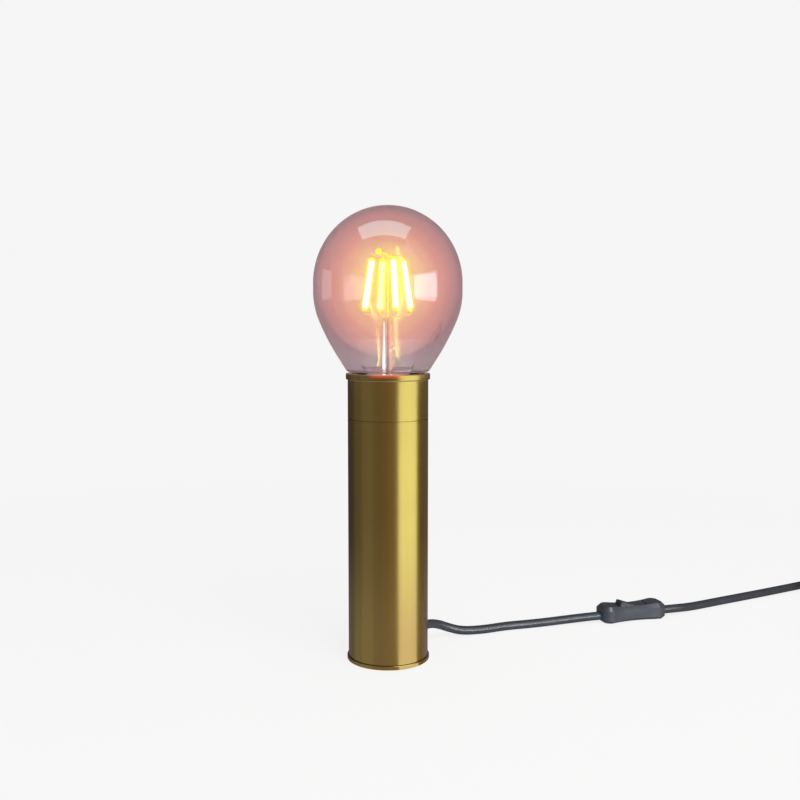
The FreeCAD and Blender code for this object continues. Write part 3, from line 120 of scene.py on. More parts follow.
class Paint:
    """A material under construction."""

    def __init__(self, name: str, world: bool = False) -> None:
        """Starts an empty material of that name, or a world in its place."""
        self.material = (bpy.data.worlds if world else bpy.data.materials).new(name)
        self.material.use_nodes = True
        self.tree = self.material.node_tree
        self.tree.nodes.clear()
        self.output = self.node("ShaderNodeOutputWorld" if world else "ShaderNodeOutputMaterial")

    def node(
        self, kind: str, settings: dict[str, Any] | None = None, inputs: dict[Any, Any] | None = None
    ) -> bpy.types.Node:
        """Adds a node.

        Args:
            kind: the node's type.
            settings: its properties; "stops" are a colour ramp's (place, colour) pairs.
            inputs: values, signals or sockets by socket name or number.

        Returns:
            The node.
        """
        node = self.tree.nodes.new(kind)
        for name, value in (settings or {}).items():
            if name == "stops":
                self._set_stops(node.color_ramp, value)
            else:
                setattr(node, name, value)
        for name, value in (inputs or {}).items():
            self.feed(node.inputs[name], value)
        return node

    def feed(self, socket: Socket, value: Any) -> None:
        """Links a signal or socket to a socket, or sets its value."""
        if isinstance(value, Signal):
            value = value.socket
        if isinstance(value, Socket):
            self.tree.links.new(value, socket)
        elif isinstance(value, tuple) and len(value) == 3 and socket.type == "RGBA":
            socket.default_value = (*value, 1.0)
        else:
            socket.default_value = value

    @staticmethod
    def _set_stops(ramp: bpy.types.ColorRamp, stops: Sequence[tuple[float, Colour]]) -> None:
        """Gives a colour ramp its stops."""
        while len(ramp.elements) < len(stops):
            ramp.elements.new(1.0)
        for element, (place, colour) in zip(ramp.elements, stops):
            element.position = place
            element.color = (*colour, 1.0)

    def place(self) -> Socket:
        """The point on the piece, in the lamp's frame, in metres."""
        return self.node("ShaderNodeTexCoord").outputs["Object"]

    def stretched(self, scale: Point) -> Socket:
        """The point on the piece with each axis scaled."""
        node = self.node("ShaderNodeMapping", {}, {"Vector": self.place(), "Scale": scale})
        return node.outputs["Vector"]

    def axes(self) -> tuple[Signal, Signal, Signal]:
        """The point's X, Y and Z."""
        node = self.node("ShaderNodeSeparateXYZ", {}, {"Vector": self.place()})
        return tuple(Signal(self, socket) for socket in node.outputs)

    def radius(self) -> Signal:
        """The point's distance from the lamp's axis."""
        x, y, _ = self.axes()
        return (x * x + y * y) ** 0.5

    def noise(
        self, size: float, detail: float = 3.0, roughness: float = 0.5, stretch: Point = (1, 1, 1)
    ) -> Signal:
        """Soft noise from 0 to 1.

        Args:
            size: its largest feature in metres.
            detail: octaves.
            roughness: how much the finer octaves count.
            stretch: scale of each axis before it.

        Returns:
            The noise.
        """
        node = self.node(
            "ShaderNodeTexNoise",
            {"noise_dimensions": "3D"},
            {"Vector": self.stretched(stretch), "Scale": 1 / size, "Detail": detail, "Roughness": roughness},
        )
        return Signal(self, node.outputs["Fac"])

    def blend(self, share: Any, first: Any, second: Any) -> Socket:
        """A colour from first, at share 0, to second, at share 1."""
        node = self.node("ShaderNodeMix", {"data_type": "RGBA"}, {"Factor": share})
        self.feed(node.inputs[6], first)
        self.feed(node.inputs[7], second)
        return node.outputs[2]

    def bump(self, height: Signal, depth: float, strength: float = 1.0) -> Socket:
        """A normal bent by a height of that depth in metres."""
        node = self.node("ShaderNodeBump", {}, {"Height": height, "Distance": depth, "Strength": strength})
        return node.outputs["Normal"]

    def shine(self, colour: Any, strength: Any) -> Socket:
        """Light of a colour and strength, for a surface or a volume."""
        node = self.node("ShaderNodeEmission", {}, {"Color": colour, "Strength": strength})
        return node.outputs["Emission"]

    def principled(self, **sockets: Any) -> bpy.types.Node:
        """Adds the main shader; a socket's name has _ for its spaces."""
        inputs = {name.replace("_", " "): value for name, value in sockets.items()}
        node = self.node("ShaderNodeBsdfPrincipled", {}, inputs)
        self.feed(self.output.inputs["Surface"], node.outputs["BSDF"])
        return node


# ---------------------------------------------------------------- finishes


@dataclass(frozen=True)
class SatinBrass:
    """Lacquered brass with a fine upright satin line, and a darker, browner tone where it is masked."""

    name: str = "satin_brass"
    colour: Colour = (0.78, 0.58, 0.20)
    shade: Colour = (0.66, 0.46, 0.15)
    roughness: float = 0.24
    line: float = 0.00018
    line_depth: float = 0.0000012

    def make(self) -> Material:
        """The material."""
        paint = Paint(self.name)
        cloud = paint.noise(0.03, 4.0)
        lines = paint.noise(self.line, 2.0, 0.6, (1, 1, 0.006))
        streaks = paint.noise(0.0016, 3.0, 0.6, (1, 1, 0.02))
        tone = (cloud.step(0.3, 0.7) * 0.5 + streaks.step(0.25, 0.75) * 0.5) * 0.45
        roughness = self.roughness - 0.03 + lines * 0.03 + cloud * 0.05
        paint.principled(
            Base_Color=paint.blend(tone, self.colour, self.shade),
            Metallic=1.0,
            Roughness=roughness,
            Normal=paint.bump(lines, self.line_depth),
            Coat_Weight=0.15,
            Coat_Roughness=0.12,
        )
        return paint.material


@dataclass(frozen=True)
class RimBrass:
    """The turned rim: satin brass outside and a bronzed deck inside, with fine lathe lines, a painted red
    glow across the middle of its upper edge and a painted rosy glow on the deck.
    """

    name: str = "rim_brass"
    colour: Colour = (0.74, 0.55, 0.20)
    bronzed: Colour = (0.30, 0.22, 0.19)
    deck_edge: float = 0.02478
    deck_blur: float = 0.0001
    # Heights and side reach, in metres, of the painted red glow on the rim's upper edge.
    painted_glow_edge: tuple[float, float] = (0.1815, 0.1838)
    painted_glow_side: tuple[float, float] = (0.006, 0.013)

    def make(self) -> Material:
        """The material."""
        paint = Paint(self.name)
        inside = paint.radius().step(self.deck_edge + self.deck_blur, self.deck_edge)
        turned = paint.noise(0.00025, 2.0, 0.5, (0.01, 0.01, 1))
        cloud = paint.noise(0.012, 3.0)
        tone = paint.blend(cloud * 0.4, self.colour, (0.6, 0.42, 0.15))
        side, _, height = paint.axes()
        # Painted glow: red light on the rim's upper edge across its middle, front and back, and rosy light
        # on the deck, standing in for the bulb's light; it stays when the bulb is out.
        near = (side * side).step(self.painted_glow_side[1] ** 2, self.painted_glow_side[0] ** 2)
        lit = height.step(*self.painted_glow_edge) * near
        glow = paint.blend(inside, (0.5, 0.035, 0.03), (0.2, 0.15, 0.16))
        paint.principled(
            Base_Color=paint.blend(inside, tone, self.bronzed),
            Metallic=1.0,
            Roughness=0.24 + inside * 0.12 + turned * 0.05,
            Normal=paint.bump(turned, 0.000001),
            Emission_Color=paint.blend(inside.math("MAXIMUM", inside, lit), (0.0, 0.0, 0.0), glow),
            Emission_Strength=1.0,
        )
        return paint.material


@dataclass(frozen=True)
class WorkedMetal:
    """Plain metal: plated, stamped or drawn, with a faint mottle."""

    name: str
    colour: Colour
    roughness: float
    grain: float = 0.0008
    depth: float = 0.000002

    def make(self) -> Material:
        """The material."""
        paint = Paint(self.name)
        grain = paint.noise(self.grain, 4.0)
        cloud = paint.noise(0.01, 3.0)
        dull = tuple(0.72 * part for part in self.colour)
        paint.principled(
            Base_Color=paint.blend(cloud.step(0.35, 0.75) * 0.6, self.colour, dull),
            Metallic=1.0,
            Roughness=self.roughness - 0.04 + grain * 0.12,
            Normal=paint.bump(grain, self.depth),
        )
        return paint.material


@dataclass(frozen=True)
class Moulding:
    """Moulded plastic, rubber or ceramic with a fine surface texture and faint wear."""

    name: str
    colour: Colour
    roughness: float
    texture: float = 0.0004
    depth: float = 0.000012
    coat: float = 0.0
    worn: float = 1.25

    def make(self) -> Material:
        """The material."""
        paint = Paint(self.name)
        texture = paint.noise(self.texture, 2.0, 0.4)
        cloud = paint.noise(0.012, 4.0, 0.6)
        lighter = tuple(min(1.0, self.worn * part) for part in self.colour)
        paint.principled(
            Base_Color=paint.blend(cloud.step(0.35, 0.8), self.colour, lighter),
            Roughness=self.roughness - 0.04 + cloud * 0.08,
            Coat_Weight=self.coat,
            Coat_Roughness=0.15,
            Normal=paint.bump(texture, self.depth),
        )
        return paint.material


@dataclass(frozen=True)
class Felt:
    """Pressed wool felt."""

    name: str = "felt"
    colour: Colour = (0.028, 0.028, 0.031)

    def make(self) -> Material:
        """The material."""
        paint = Paint(self.name)
        fibres = paint.noise(0.0006, 6.0, 0.75)
        paint.principled(
            Base_Color=paint.blend(fibres.step(0.4, 0.75), self.colour, (0.075, 0.075, 0.08)),
            Roughness=0.95,
            Sheen_Weight=0.4,
            Sheen_Roughness=0.5,
            Normal=paint.bump(fibres, 0.00015),
        )
        return paint.material


@dataclass(frozen=True)
class CastIron:
    """Grey cast iron, skimmed on a lathe."""

    name: str = "ballast_iron"

    def make(self) -> Material:
        """The material."""
        paint = Paint(self.name)
        pits = paint.noise(0.0012, 5.0, 0.65)
        turned = paint.noise(0.0005, 2.0, 0.5, (0.02, 0.02, 1))
        paint.principled(
            Base_Color=paint.blend(pits.step(0.35, 0.7), (0.055, 0.055, 0.06), (0.16, 0.16, 0.165)),
            Metallic=0.8,
            Roughness=0.5 + pits * 0.2,
            Normal=paint.bump(pits * 0.6 + turned * 0.4, 0.00006),
        )
        return paint.material


@dataclass(frozen=True)
class TintedGlass:
    """The bulb's glass: smoky mauve, with a thin reflective film, a painted rosy glow on the globe and a
    painted pale light at its foot, standing in for the filaments' glow.
    """

    name: str = "tinted_glass"
    tint: Colour = (0.51, 0.42, 0.46)
    neck_tint: Colour = (0.62, 0.55, 0.58)
    film: float = 1.0
    film_index: float = 2.2
    # Painted light: colours, heights and strength of the rosy glow on the globe and the pale light at the
    # foot.
    glow: Colour = (0.30, 0.036, 0.03)
    painted_foot_light: Colour = (0.95, 0.78, 0.86)
    foot_edge: tuple[float, float] = (0.1862, 0.1846)
    glow_strength: float = 0.1
    glow_low: float = 0.188
    glow_high: float = 0.218

    def make(self) -> Material:
        """The material."""
        paint = Paint(self.name)
        _, _, height = paint.axes()
        cloud = paint.noise(0.05, 2.0)
        paler = tuple(min(1.0, 1.04 * part) for part in self.tint)
        # Above these heights the glass takes the globe's tint and the painted rosy glow.
        lit = height.step(self.glow_low, self.glow_high)
        globe = paint.blend(cloud.step(0.3, 0.7), self.tint, paler)
        painted_body_glow = paint.blend(lit, (0.0, 0.0, 0.0), self.glow)
        paint.principled(
            Base_Color=paint.blend(lit, self.neck_tint, globe),
            Roughness=0.0,
            IOR=1.5,
            Transmission_Weight=1.0,
            Coat_Weight=self.film,
            Coat_IOR=self.film_index,
            Coat_Roughness=0.0,
            # Painted light: rosy glow on the globe, pale light at the foot.
            Emission_Color=paint.blend(height.step(*self.foot_edge), painted_body_glow, self.painted_foot_light),
            Emission_Strength=self.glow_strength,
        )
        return paint.material


@dataclass(frozen=True)
class ClearGlass:
    """Thin drawn glass, clearest face on, with a painted warm glow that stands in for light from the
    filaments.
    """

    name: str = "stem_glass"
    low: float = 0.181
    high: float = 0.215
    least_alpha: float = 0.05
    edge_alpha: float = 0.3

    def make(self) -> Material:
        """The material."""
        paint = Paint(self.name)
        _, _, height = paint.axes()
        ripple = paint.noise(0.004, 2.0, 0.5, (1, 1, 0.1))
        # Painted glow, warmer and brighter towards the bottom of the stem.
        warm = height.step(self.high, self.low)
        edge = Signal(paint, paint.node("ShaderNodeLayerWeight", {}, {"Blend": 0.35}).outputs["Facing"])
        paint.principled(
            Base_Color=(0.03, 0.015, 0.015),
            Roughness=0.3 + ripple * 0.05,
            Alpha=self.least_alpha + edge * edge * self.edge_alpha,
            Emission_Color=paint.blend(warm, (0.30, 0.12, 0.10), (0.75, 0.28, 0.2)),
            Emission_Strength=0.9,
        )
        return paint.material


@dataclass(frozen=True)
class Luminous:
    """A surface that shines by itself, with a faint grain in its light: the filaments' phosphor, which is a
    lamp, and painted glows on parts that are no lamps.
    """

    name: str
    colour: Colour
    strength: float
    body: Colour = (0.9, 0.75, 0.2)

    def make(self) -> Material:
        """The material."""
        paint = Paint(self.name)
        grain = paint.noise(0.0012, 3.0)
        dimmer = tuple(0.93 * part for part in self.colour)
        paint.principled(
            Base_Color=self.body,
            Roughness=0.4,
            Emission_Color=paint.blend(grain.step(0.35, 0.7), self.colour, dimmer),
            Emission_Strength=self.strength,
        )
        return paint.material


@dataclass(frozen=True)
class PaintedGlow:
    """A volume of painted glow in the bulb, standing in for the glow round the filaments, which may also
    filter what is behind it.
    """

    name: str
    colour: Colour
    strength: float
    passed: Colour = (1.0, 1.0, 1.0)
    density: float = 0.0

    def make(self) -> Material:
        """The material, a volume alone."""
        paint = Paint(self.name)
        fill = paint.shine(self.colour, self.strength)
        if self.density:
            filters = {"Color": self.passed, "Density": self.density}
            veil = paint.node("ShaderNodeVolumeAbsorption", {}, filters)
            both = paint.node("ShaderNodeAddShader", {}, {0: fill, 1: veil.outputs["Volume"]})
            fill = both.outputs[0]
        paint.feed(paint.output.inputs["Volume"], fill)
        return paint.material


@dataclass(frozen=True)
class CircuitBoard:
    """Green laminate with lighter tracks."""

    name: str = "circuit_board"

    def make(self) -> Material:
        """The material."""
        paint = Paint(self.name)
        node = paint.node(
            "ShaderNodeTexVoronoi",
            {"distance": "CHEBYCHEV"},
            {"Vector": paint.place(), "Scale": 420.0},
        )
        tracks = Signal(paint, node.outputs["Distance"]).step(0.45, 0.5)
        paint.principled(
            Base_Color=paint.blend(tracks, (0.03, 0.16, 0.06), (0.07, 0.3, 0.12)),
            Roughness=0.35,
            Coat_Weight=0.3,
        )
        return paint.material


# ---------------------------------------------------------------- mesh building


def new_object(name: str, data: bpy.types.ID) -> Piece:
    """Adds an object to the scene."""
    made = bpy.data.objects.new(name, data)
    bpy.context.scene.collection.objects.link(made)
    return made


def new_piece(name: str, body: str, build: Callable[[Shape], None]) -> Piece:
    """Makes a smooth piece of the object, with its sharp edges kept, and lets it ride on a body.

    Args:
        name: the piece's name.
        body: the body it moves with.
        build: fills an empty mesh, in metres, in the lamp's frame.

    Returns:
        The piece.
    """
    mesh = bpy.data.meshes.new(name)
    shape = bmesh.new()
    build(shape)
    bmesh.ops.recalc_face_normals(shape, faces=shape.faces[:])
    shape.to_mesh(mesh)
    shape.free()
    piece = new_object(name, mesh)
    mesh.shade_smooth()
    mesh.set_sharp_from_angle(angle=math.radians(SHARP_ANGLE))
    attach(piece, body)
    return piece


def unmirrored(piece: Piece) -> Piece:
    """Keeps a glowing piece out of the glass's own reflections, and returns it."""
    piece.visible_glossy = False
    return piece


def dress(piece: Piece, material: Material) -> None:
    """Gives every slot of a piece one material, adding a slot if it has none."""
    if not piece.material_slots:
        piece.data.materials.append(material)
    for slot in piece.material_slots:
        slot.material = material


def dress_nodes(material: Material, *nodes: str) -> None:
    """Gives several CAD nodes one material."""
    for node in nodes:
        dress(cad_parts[node], material)


def add_ring(shape: Shape, points: Iterable[Vector]) -> Ring:
    """Adds a closed ring of vertices."""
    return [shape.verts.new(point) for point in points]


def bridge(shape: Shape, first: Ring, second: Ring) -> None:
    """Joins two rings of as many vertices with quads."""
    count = len(first)
    for index in range(count):
        after = (index + 1) % count
        shape.faces.new((first[index], first[after], second[after], second[index]))


def add_lathe(shape: Shape, outline: Outline, place: Matrix, sides: int) -> None:
    """Adds a solid of revolution, closed at both ends.

    Args:
        shape: the mesh it goes into.
        outline: (radius, height) from one end to the other.
        place: turns and moves its axis, which is Z.
        sides: points round it.
    """
    rings = []
    for radius, height in outline:
        angles = [2 * math.pi * number / sides for number in range(sides)]
        points = [place @ Vector((radius * math.cos(a), radius * math.sin(a), height)) for a in angles]
        rings.append(add_ring(shape, points))
    for first, second in zip(rings, rings[1:]):
        bridge(shape, first, second)
    shape.faces.new(rings[0])
    shape.faces.new(list(reversed(rings[-1])))


def along(start: Vector, end: Vector) -> Matrix:
    """A frame at start whose Z runs to end."""
    turn = (end - start).to_track_quat("Z", "Y").to_matrix().to_4x4()
    return Matrix.Translation(start) @ turn


def new_lathe(name: str, outline: Outline, place: Matrix, sides: int) -> Piece:
    """Makes a solid of revolution that rides on the bulb."""
    return new_piece(name, "bulb", lambda shape: add_lathe(shape, outline, place, sides))


def add_wire(shape: Shape, start: Vector, end: Vector, radius: float, sides: int) -> None:
    """Adds a straight round wire, measured in metres."""
    add_lathe(shape, [(radius, 0.0), (radius, (end - start).length)], along(start, end), sides)


def egg(across: float, up: float, count: int, lead: float = 0.3) -> list[tuple[float, float]]:
    """The outline of a round body about its own middle, almost closed at both poles.

    Args:
        across: its greatest radius in millimetres.
        up: half its height in millimetres.
        count: points along it.
        lead: how many steps the first and last points are from the poles.

    Returns:
        (radius, height) in metres.
    """
    steps = count - 1 + 2 * lead
    angles = [math.pi * (step + lead) / steps for step in range(count)]
    return [(across * math.sin(angle) * MM, -up * math.cos(angle) * MM) for angle in angles]


def polar(radius: float, degrees: float, height: float = 0.0) -> Vector:
    """A point from its distance to the axis, azimuth and height."""
    angle = math.radians(degrees)
    return Vector((radius * math.cos(angle), radius * math.sin(angle), height))


# ---------------------------------------------------------------- the studio


class Seen(Enum):
    """Which rays meet a panel of the studio."""

    REFLECTED = "reflected"
    THROUGH_GLASS = "through glass"


def shining(name: str, colour: Colour, strength: float) -> Material:
    """A plain surface that shines."""
    paint = Paint(name)
    paint.feed(paint.output.inputs["Surface"], paint.shine(colour, strength))
    return paint.material


@dataclass
class Card:
    """A panel swept round the lamp: a dark flag or a lit softbox that only reflections or glass show."""

    name: str
    first_azimuth: float
    last_azimuth: float
    profile: Profile
    colour: Colour
    close: Colour | None = None
    below: Colour | None = None
    last_profile: Profile = ()
    root: float = 0.0
    seen: Seen = Seen.REFLECTED
    fade: tuple[float, float] = (0.05, 0.42)

    def build(self) -> None:
        """Makes the panel; its azimuths are degrees from the viewer's side towards +X."""
        last = self.last_profile or self.profile
        steps = max(1, round(abs(self.last_azimuth - self.first_azimuth) / 3))
        mesh = bpy.data.meshes.new(self.name)
        vertices, faces = [], []
        for number in range(steps + 1):
            share = number / steps
            azimuth = self.first_azimuth + (self.last_azimuth - self.first_azimuth) * share
            foot = polar(self.root, azimuth / 2 - 90)
            for (radius, height), (last_radius, last_height) in zip(self.profile, last):
                here = radius + (last_radius - radius) * share
                up = height + (last_height - height) * share
                vertices.append(tuple(foot + polar(here, azimuth - 90, up)))
        across = len(self.profile)
        for number in range(steps):
            for place in range(across - 1):
                low = number * across + place
                faces.append((low, low + 1, low + across + 1, low + across))
        mesh.from_pydata(vertices, [], faces)
        mesh.materials.append(self._material())
        show(mesh, self.seen)

    def _material(self) -> Material:
        """Its light: another colour close to the lamp or on its lower side where it has one."""
        paint = Paint(self.name)
        colour = self.colour
        if self.close:
            colour = paint.blend(paint.radius().step(*self.fade), self.close, colour)
        if self.below:
            side = paint.node("ShaderNodeNewGeometry").outputs["Backfacing"]
            colour = paint.blend(side, colour, self.below)
        paint.feed(paint.output.inputs["Surface"], paint.shine(colour, 1.0))
        return paint.material


def show(mesh: bpy.types.Mesh, seen: Seen) -> None:
    """Puts a panel in the studio and hides it from all rays but those named."""
    panel = new_object(mesh.name, mesh)
    panel.visible_camera = False
    panel.visible_diffuse = False
    panel.visible_glossy = seen is Seen.REFLECTED
    panel.visible_transmission = seen is Seen.THROUGH_GLASS
    panel.visible_shadow = False
    panel.visible_volume_scatter = False


FAR: Profile = ((1.05, 0.0), (1.05, 1.6))
CEILING: Profile = ((0.0, 1.45), (1.05, 1.45))
UPPER_SURROUND: Colour = (0.33, 0.21, 0.215)


@dataclass
class Sector:
    """One slice of the low surroundings: floor and wall round the tube, and the roof over them."""

    name: str
    first_azimuth: float
    last_azimuth: float
    colour: Colour
    close: Colour
    tube_radius: float = 0.0255
    wall: float = 0.475
    floor: float = 0.0004
    eaves: float = 0.168
    gap: float = 0.0015
    roof: Profile = ((0.028, 0.1842), (0.5, 0.174))

    def build(self) -> None:
        """Makes the slice."""
        span = (self.first_azimuth, self.last_azimuth)
        low = ((self.gap, self.floor), (self.wall, self.floor), (self.wall, self.eaves))
        Card(self.name, *span, low, self.colour, close=self.close, root=self.tube_radius).build()
        Card(f"{self.name}_roof", *span, self.roof, UPPER_SURROUND, below=self.colour).build()


@dataclass(frozen=True)
class StripLight:
    """A small light for some pieces alone."""

    name: str
    place: Point
    aim: Point
    size: tuple[float, float]
    power: float


@dataclass
class Studio:
    """The pale surroundings, the flags and softboxes that metal and glass show, and the camera."""

    pale: float = 0.92
    ambient: float = 0.45
    floor_reach: float = 6.0
    shadow_share: float = 0.22
    shadow_reach: tuple[float, float] = (0.45, 0.8)
    matt_level: float = 0.53
    lens: float = 44.1
    eye: Point = (0.0076, -0.6189, 0.2174)
    tilt: float = 4.66
    key_power: float = 9.0
    key_place: Point = (0.35, -0.75, 1.25)
    key_aim: Point = (0.0, 0.0, 0.1)
    overhead: Profile = ((-0.685, -0.36), (0.465, -0.47), (0.50, 0.10), (-0.645, 0.25))
    overhead_height: float = 1.35
    sectors: list[Sector] = field(
        default_factory=lambda: [
            Sector("back_left", -180, -112, (0.042, 0.038, 0.046), (0.12, 0.115, 0.14)),
            Sector("left", -112, -80, (0.093, 0.087, 0.075), (0.19, 0.185, 0.18)),
            Sector("front_left", -80, -42, (0.145, 0.138, 0.125), (0.23, 0.215, 0.21)),
            Sector("front", -42, -4, (0.125, 0.103, 0.075), (0.19, 0.165, 0.165)),
            Sector("front_right", -4, 30, (0.158, 0.11, 0.06), (0.22, 0.18, 0.145)),
            Sector("strip", 30, 91, (1.09, 1.2, 0.92), (0.85, 0.80, 0.85)),
            Sector("right", 91, 120, (0.105, 0.065, 0.02), (0.17, 0.13, 0.09)),
            Sector("back_right", 120, 180, (0.088, 0.082, 0.095), (0.18, 0.17, 0.24)),
        ]
    )
    cards: list[Card] = field(
        default_factory=lambda: [
            Card("surround", -180, 180, FAR, UPPER_SURROUND),
            Card("ceiling", -180, 180, CEILING, UPPER_SURROUND),
            Card("softbox_left", -117, -92, ((1.0, 0.14), (1.0, 0.45)), (0.55, 0.5, 0.5)),
            Card(
                "softbox_right",
                34.5,
                80.5,
                ((1.0, 0.122), (1.0, 0.412)),
                (0.5, 0.72, 0.72),
                last_profile=((1.0, 0.062), (1.0, 0.50)),
            ),
            Card(
                "softbox_right_inside",
                40,
                79,
                ((1.0, 0.04), (1.0, 0.39)),
                (4.6, 5.6, 6.2),
                last_profile=((1.0, 0.04), (1.0, 0.446)),
                seen=Seen.THROUGH_GLASS,
            ),
        ]
    )

    def build(self) -> None:
        """Makes the whole studio."""
        self._world()
        self._floor()
        for part in (*self.sectors, *self.cards):
            part.build()
        self._overhead()
        self._key()
        self._camera()
        bpy.context.scene.view_settings.view_transform = "Standard"

    def _world(self) -> None:
        """Pale for camera, glossy and transmission rays, and a dimmer even light on all else."""
        paint = Paint("studio", world=True)
        rays = paint.node("ShaderNodeLightPath").outputs
        seen = Signal(paint, rays["Is Camera Ray"])
        for name in ("Is Glossy Ray", "Is Transmission Ray"):
            seen = seen.math("MAXIMUM", seen, rays[name])
        mix = paint.node("ShaderNodeMixShader", {}, {0: seen})
        for number, strength in ((1, self.ambient), (2, self.pale)):
            inputs = {"Color": (1.0, 1.0, 1.0), "Strength": strength}
            background = paint.node("ShaderNodeBackground", {}, inputs)
            paint.feed(mix.inputs[number], background.outputs[0])
        paint.feed(paint.output.inputs["Surface"], mix.outputs[0])
        bpy.context.scene.world = paint.material

    def _floor(self) -> None:
        """A pale floor that keeps a soft shadow near the lamp and fades into the background."""
        mesh = bpy.data.meshes.new("floor")
        reach = self.floor_reach
        corners = [(-reach, -reach, 0), (reach, -reach, 0), (reach, reach, 0), (-reach, reach, 0)]
        mesh.from_pydata(corners, [], [(0, 1, 2, 3)])
        floor = new_object("floor", mesh)
        paint = Paint("floor")
        share = paint.radius().step(self.shadow_reach[1], self.shadow_reach[0]) * self.shadow_share
        level = (self.pale - share * self.matt_level) / (1 - share)
        matt = paint.node("ShaderNodeBsdfDiffuse", {}, {"Color": (0.8, 0.8, 0.8)})
        mix = paint.node("ShaderNodeMixShader", {}, {0: share})
        paint.feed(mix.inputs[1], paint.shine((1.0, 1.0, 1.0), level))
        paint.feed(mix.inputs[2], matt.outputs[0])
        paint.feed(paint.output.inputs["Surface"], mix.outputs[0])
        mesh.materials.append(paint.material)

    def _overhead(self) -> None:
        """The overhead softbox, once for reflections and once for what the glass passes on."""
        for name, seen, strength in (
            ("softbox_above", Seen.REFLECTED, 0.75),
            ("softbox_above_inside", Seen.THROUGH_GLASS, 3.0),
        ):
            mesh = bpy.data.meshes.new(name)
            mesh.from_pydata([(x, y, self.overhead_height) for x, y in self.overhead], [], [(0, 1, 2, 3)])
            mesh.materials.append(shining(name, (0.62, 1.0, 1.0), strength))
            show(mesh, seen)

    @staticmethod
    def _area(name: str, place: Point, aim: Point, power: float, colour: Colour) -> Piece:
        """Adds an area light at a place that faces its aim."""
        data = bpy.data.lights.new(name, "AREA")
        data.energy = power
        data.color = colour
        lamp = new_object(name, data)
        lamp.location = place
        lamp.rotation_euler = (Vector(aim) - lamp.location).to_track_quat("-Z", "Y").to_euler()
        return lamp

    def _key(self) -> None:
        """The light that models the matt pieces and casts the soft shadow."""
        lamp = self._area("key", self.key_place, self.key_aim, self.key_power, (1.0, 0.985, 0.97))
        lamp.data.shape = "DISK"
        lamp.data.size = 1.0
        lamp.visible_glossy = False
        lamp.visible_transmission = False

    def light_only(self, strip: "StripLight", pieces: Sequence[Piece]) -> None:
        """Adds a light that only some pieces take.

        Args:
            strip: the light.
            pieces: what it lights.
        """
        lamp = self._area(strip.name, strip.place, strip.aim, strip.power, (0.86, 0.92, 1.0))
        lamp.data.shape = "RECTANGLE"
        lamp.data.size, lamp.data.size_y = strip.size
        takers = bpy.data.collections.new(f"takes_{strip.name}")
        for piece in pieces:
            takers.objects.link(piece)
        lamp.light_linking.receiver_collection = takers

    def _camera(self) -> None:
        """The photograph's view."""
        data = bpy.data.cameras.new("camera")
        data.lens = self.lens
        data.sensor_width = 36.0
        data.clip_start = 0.01
        camera = new_object("camera", data)
        camera.location = self.eye
        camera.rotation_euler = Euler((math.radians(90 - self.tilt), 0, 0))
        bpy.context.scene.camera = camera


# ---------------------------------------------------------------- cords


@dataclass
class Coil:
    """The put-away length: in and out again in two layers, as the CAD coil runs."""

    pitch: float = 6.6
    height: float = 3.5
    outer: float = 43.5
    turns: float = 6.5
    diameter: float = 6.0
    per_turn: int = 24

    def points(self, before: Point, last: Point) -> list[Point]:
        """The control points of the turns.

        Args:
            before: the route's last but one point before the coil.
            last: the route's last point before it.

        Returns:
            Points in millimetres, a turn's worth for each turn.
        """
        way = Vector(last) - Vector(before)
        way.z = 0
        way.normalize()
        start = Vector(last) + way * self.diameter
        centre = start + Vector((way.y, -way.x, 0)) * self.outer
        first = math.degrees(math.atan2(start.y - centre.y, start.x - centre.x))
        widen = 2 / (1 + math.cos(math.pi / self.per_turn))
        middle = self.turns / 2
        places = []
        for number in range(int(self.turns * self.per_turn) + 1):
            turned = number / self.per_turn
            radius = (self.outer - self.pitch * (middle - abs(turned - middle))) * widen
            climb = min(1.0, max(0.0, (turned - middle + 0.25) / 0.5))
            rise = self.pitch * (3 * climb**2 - 2 * climb**3)
            spot = polar(radius, first - 360 * turned)
            places.append((centre.x + spot.x, centre.y + spot.y, self.height + rise))
        return places


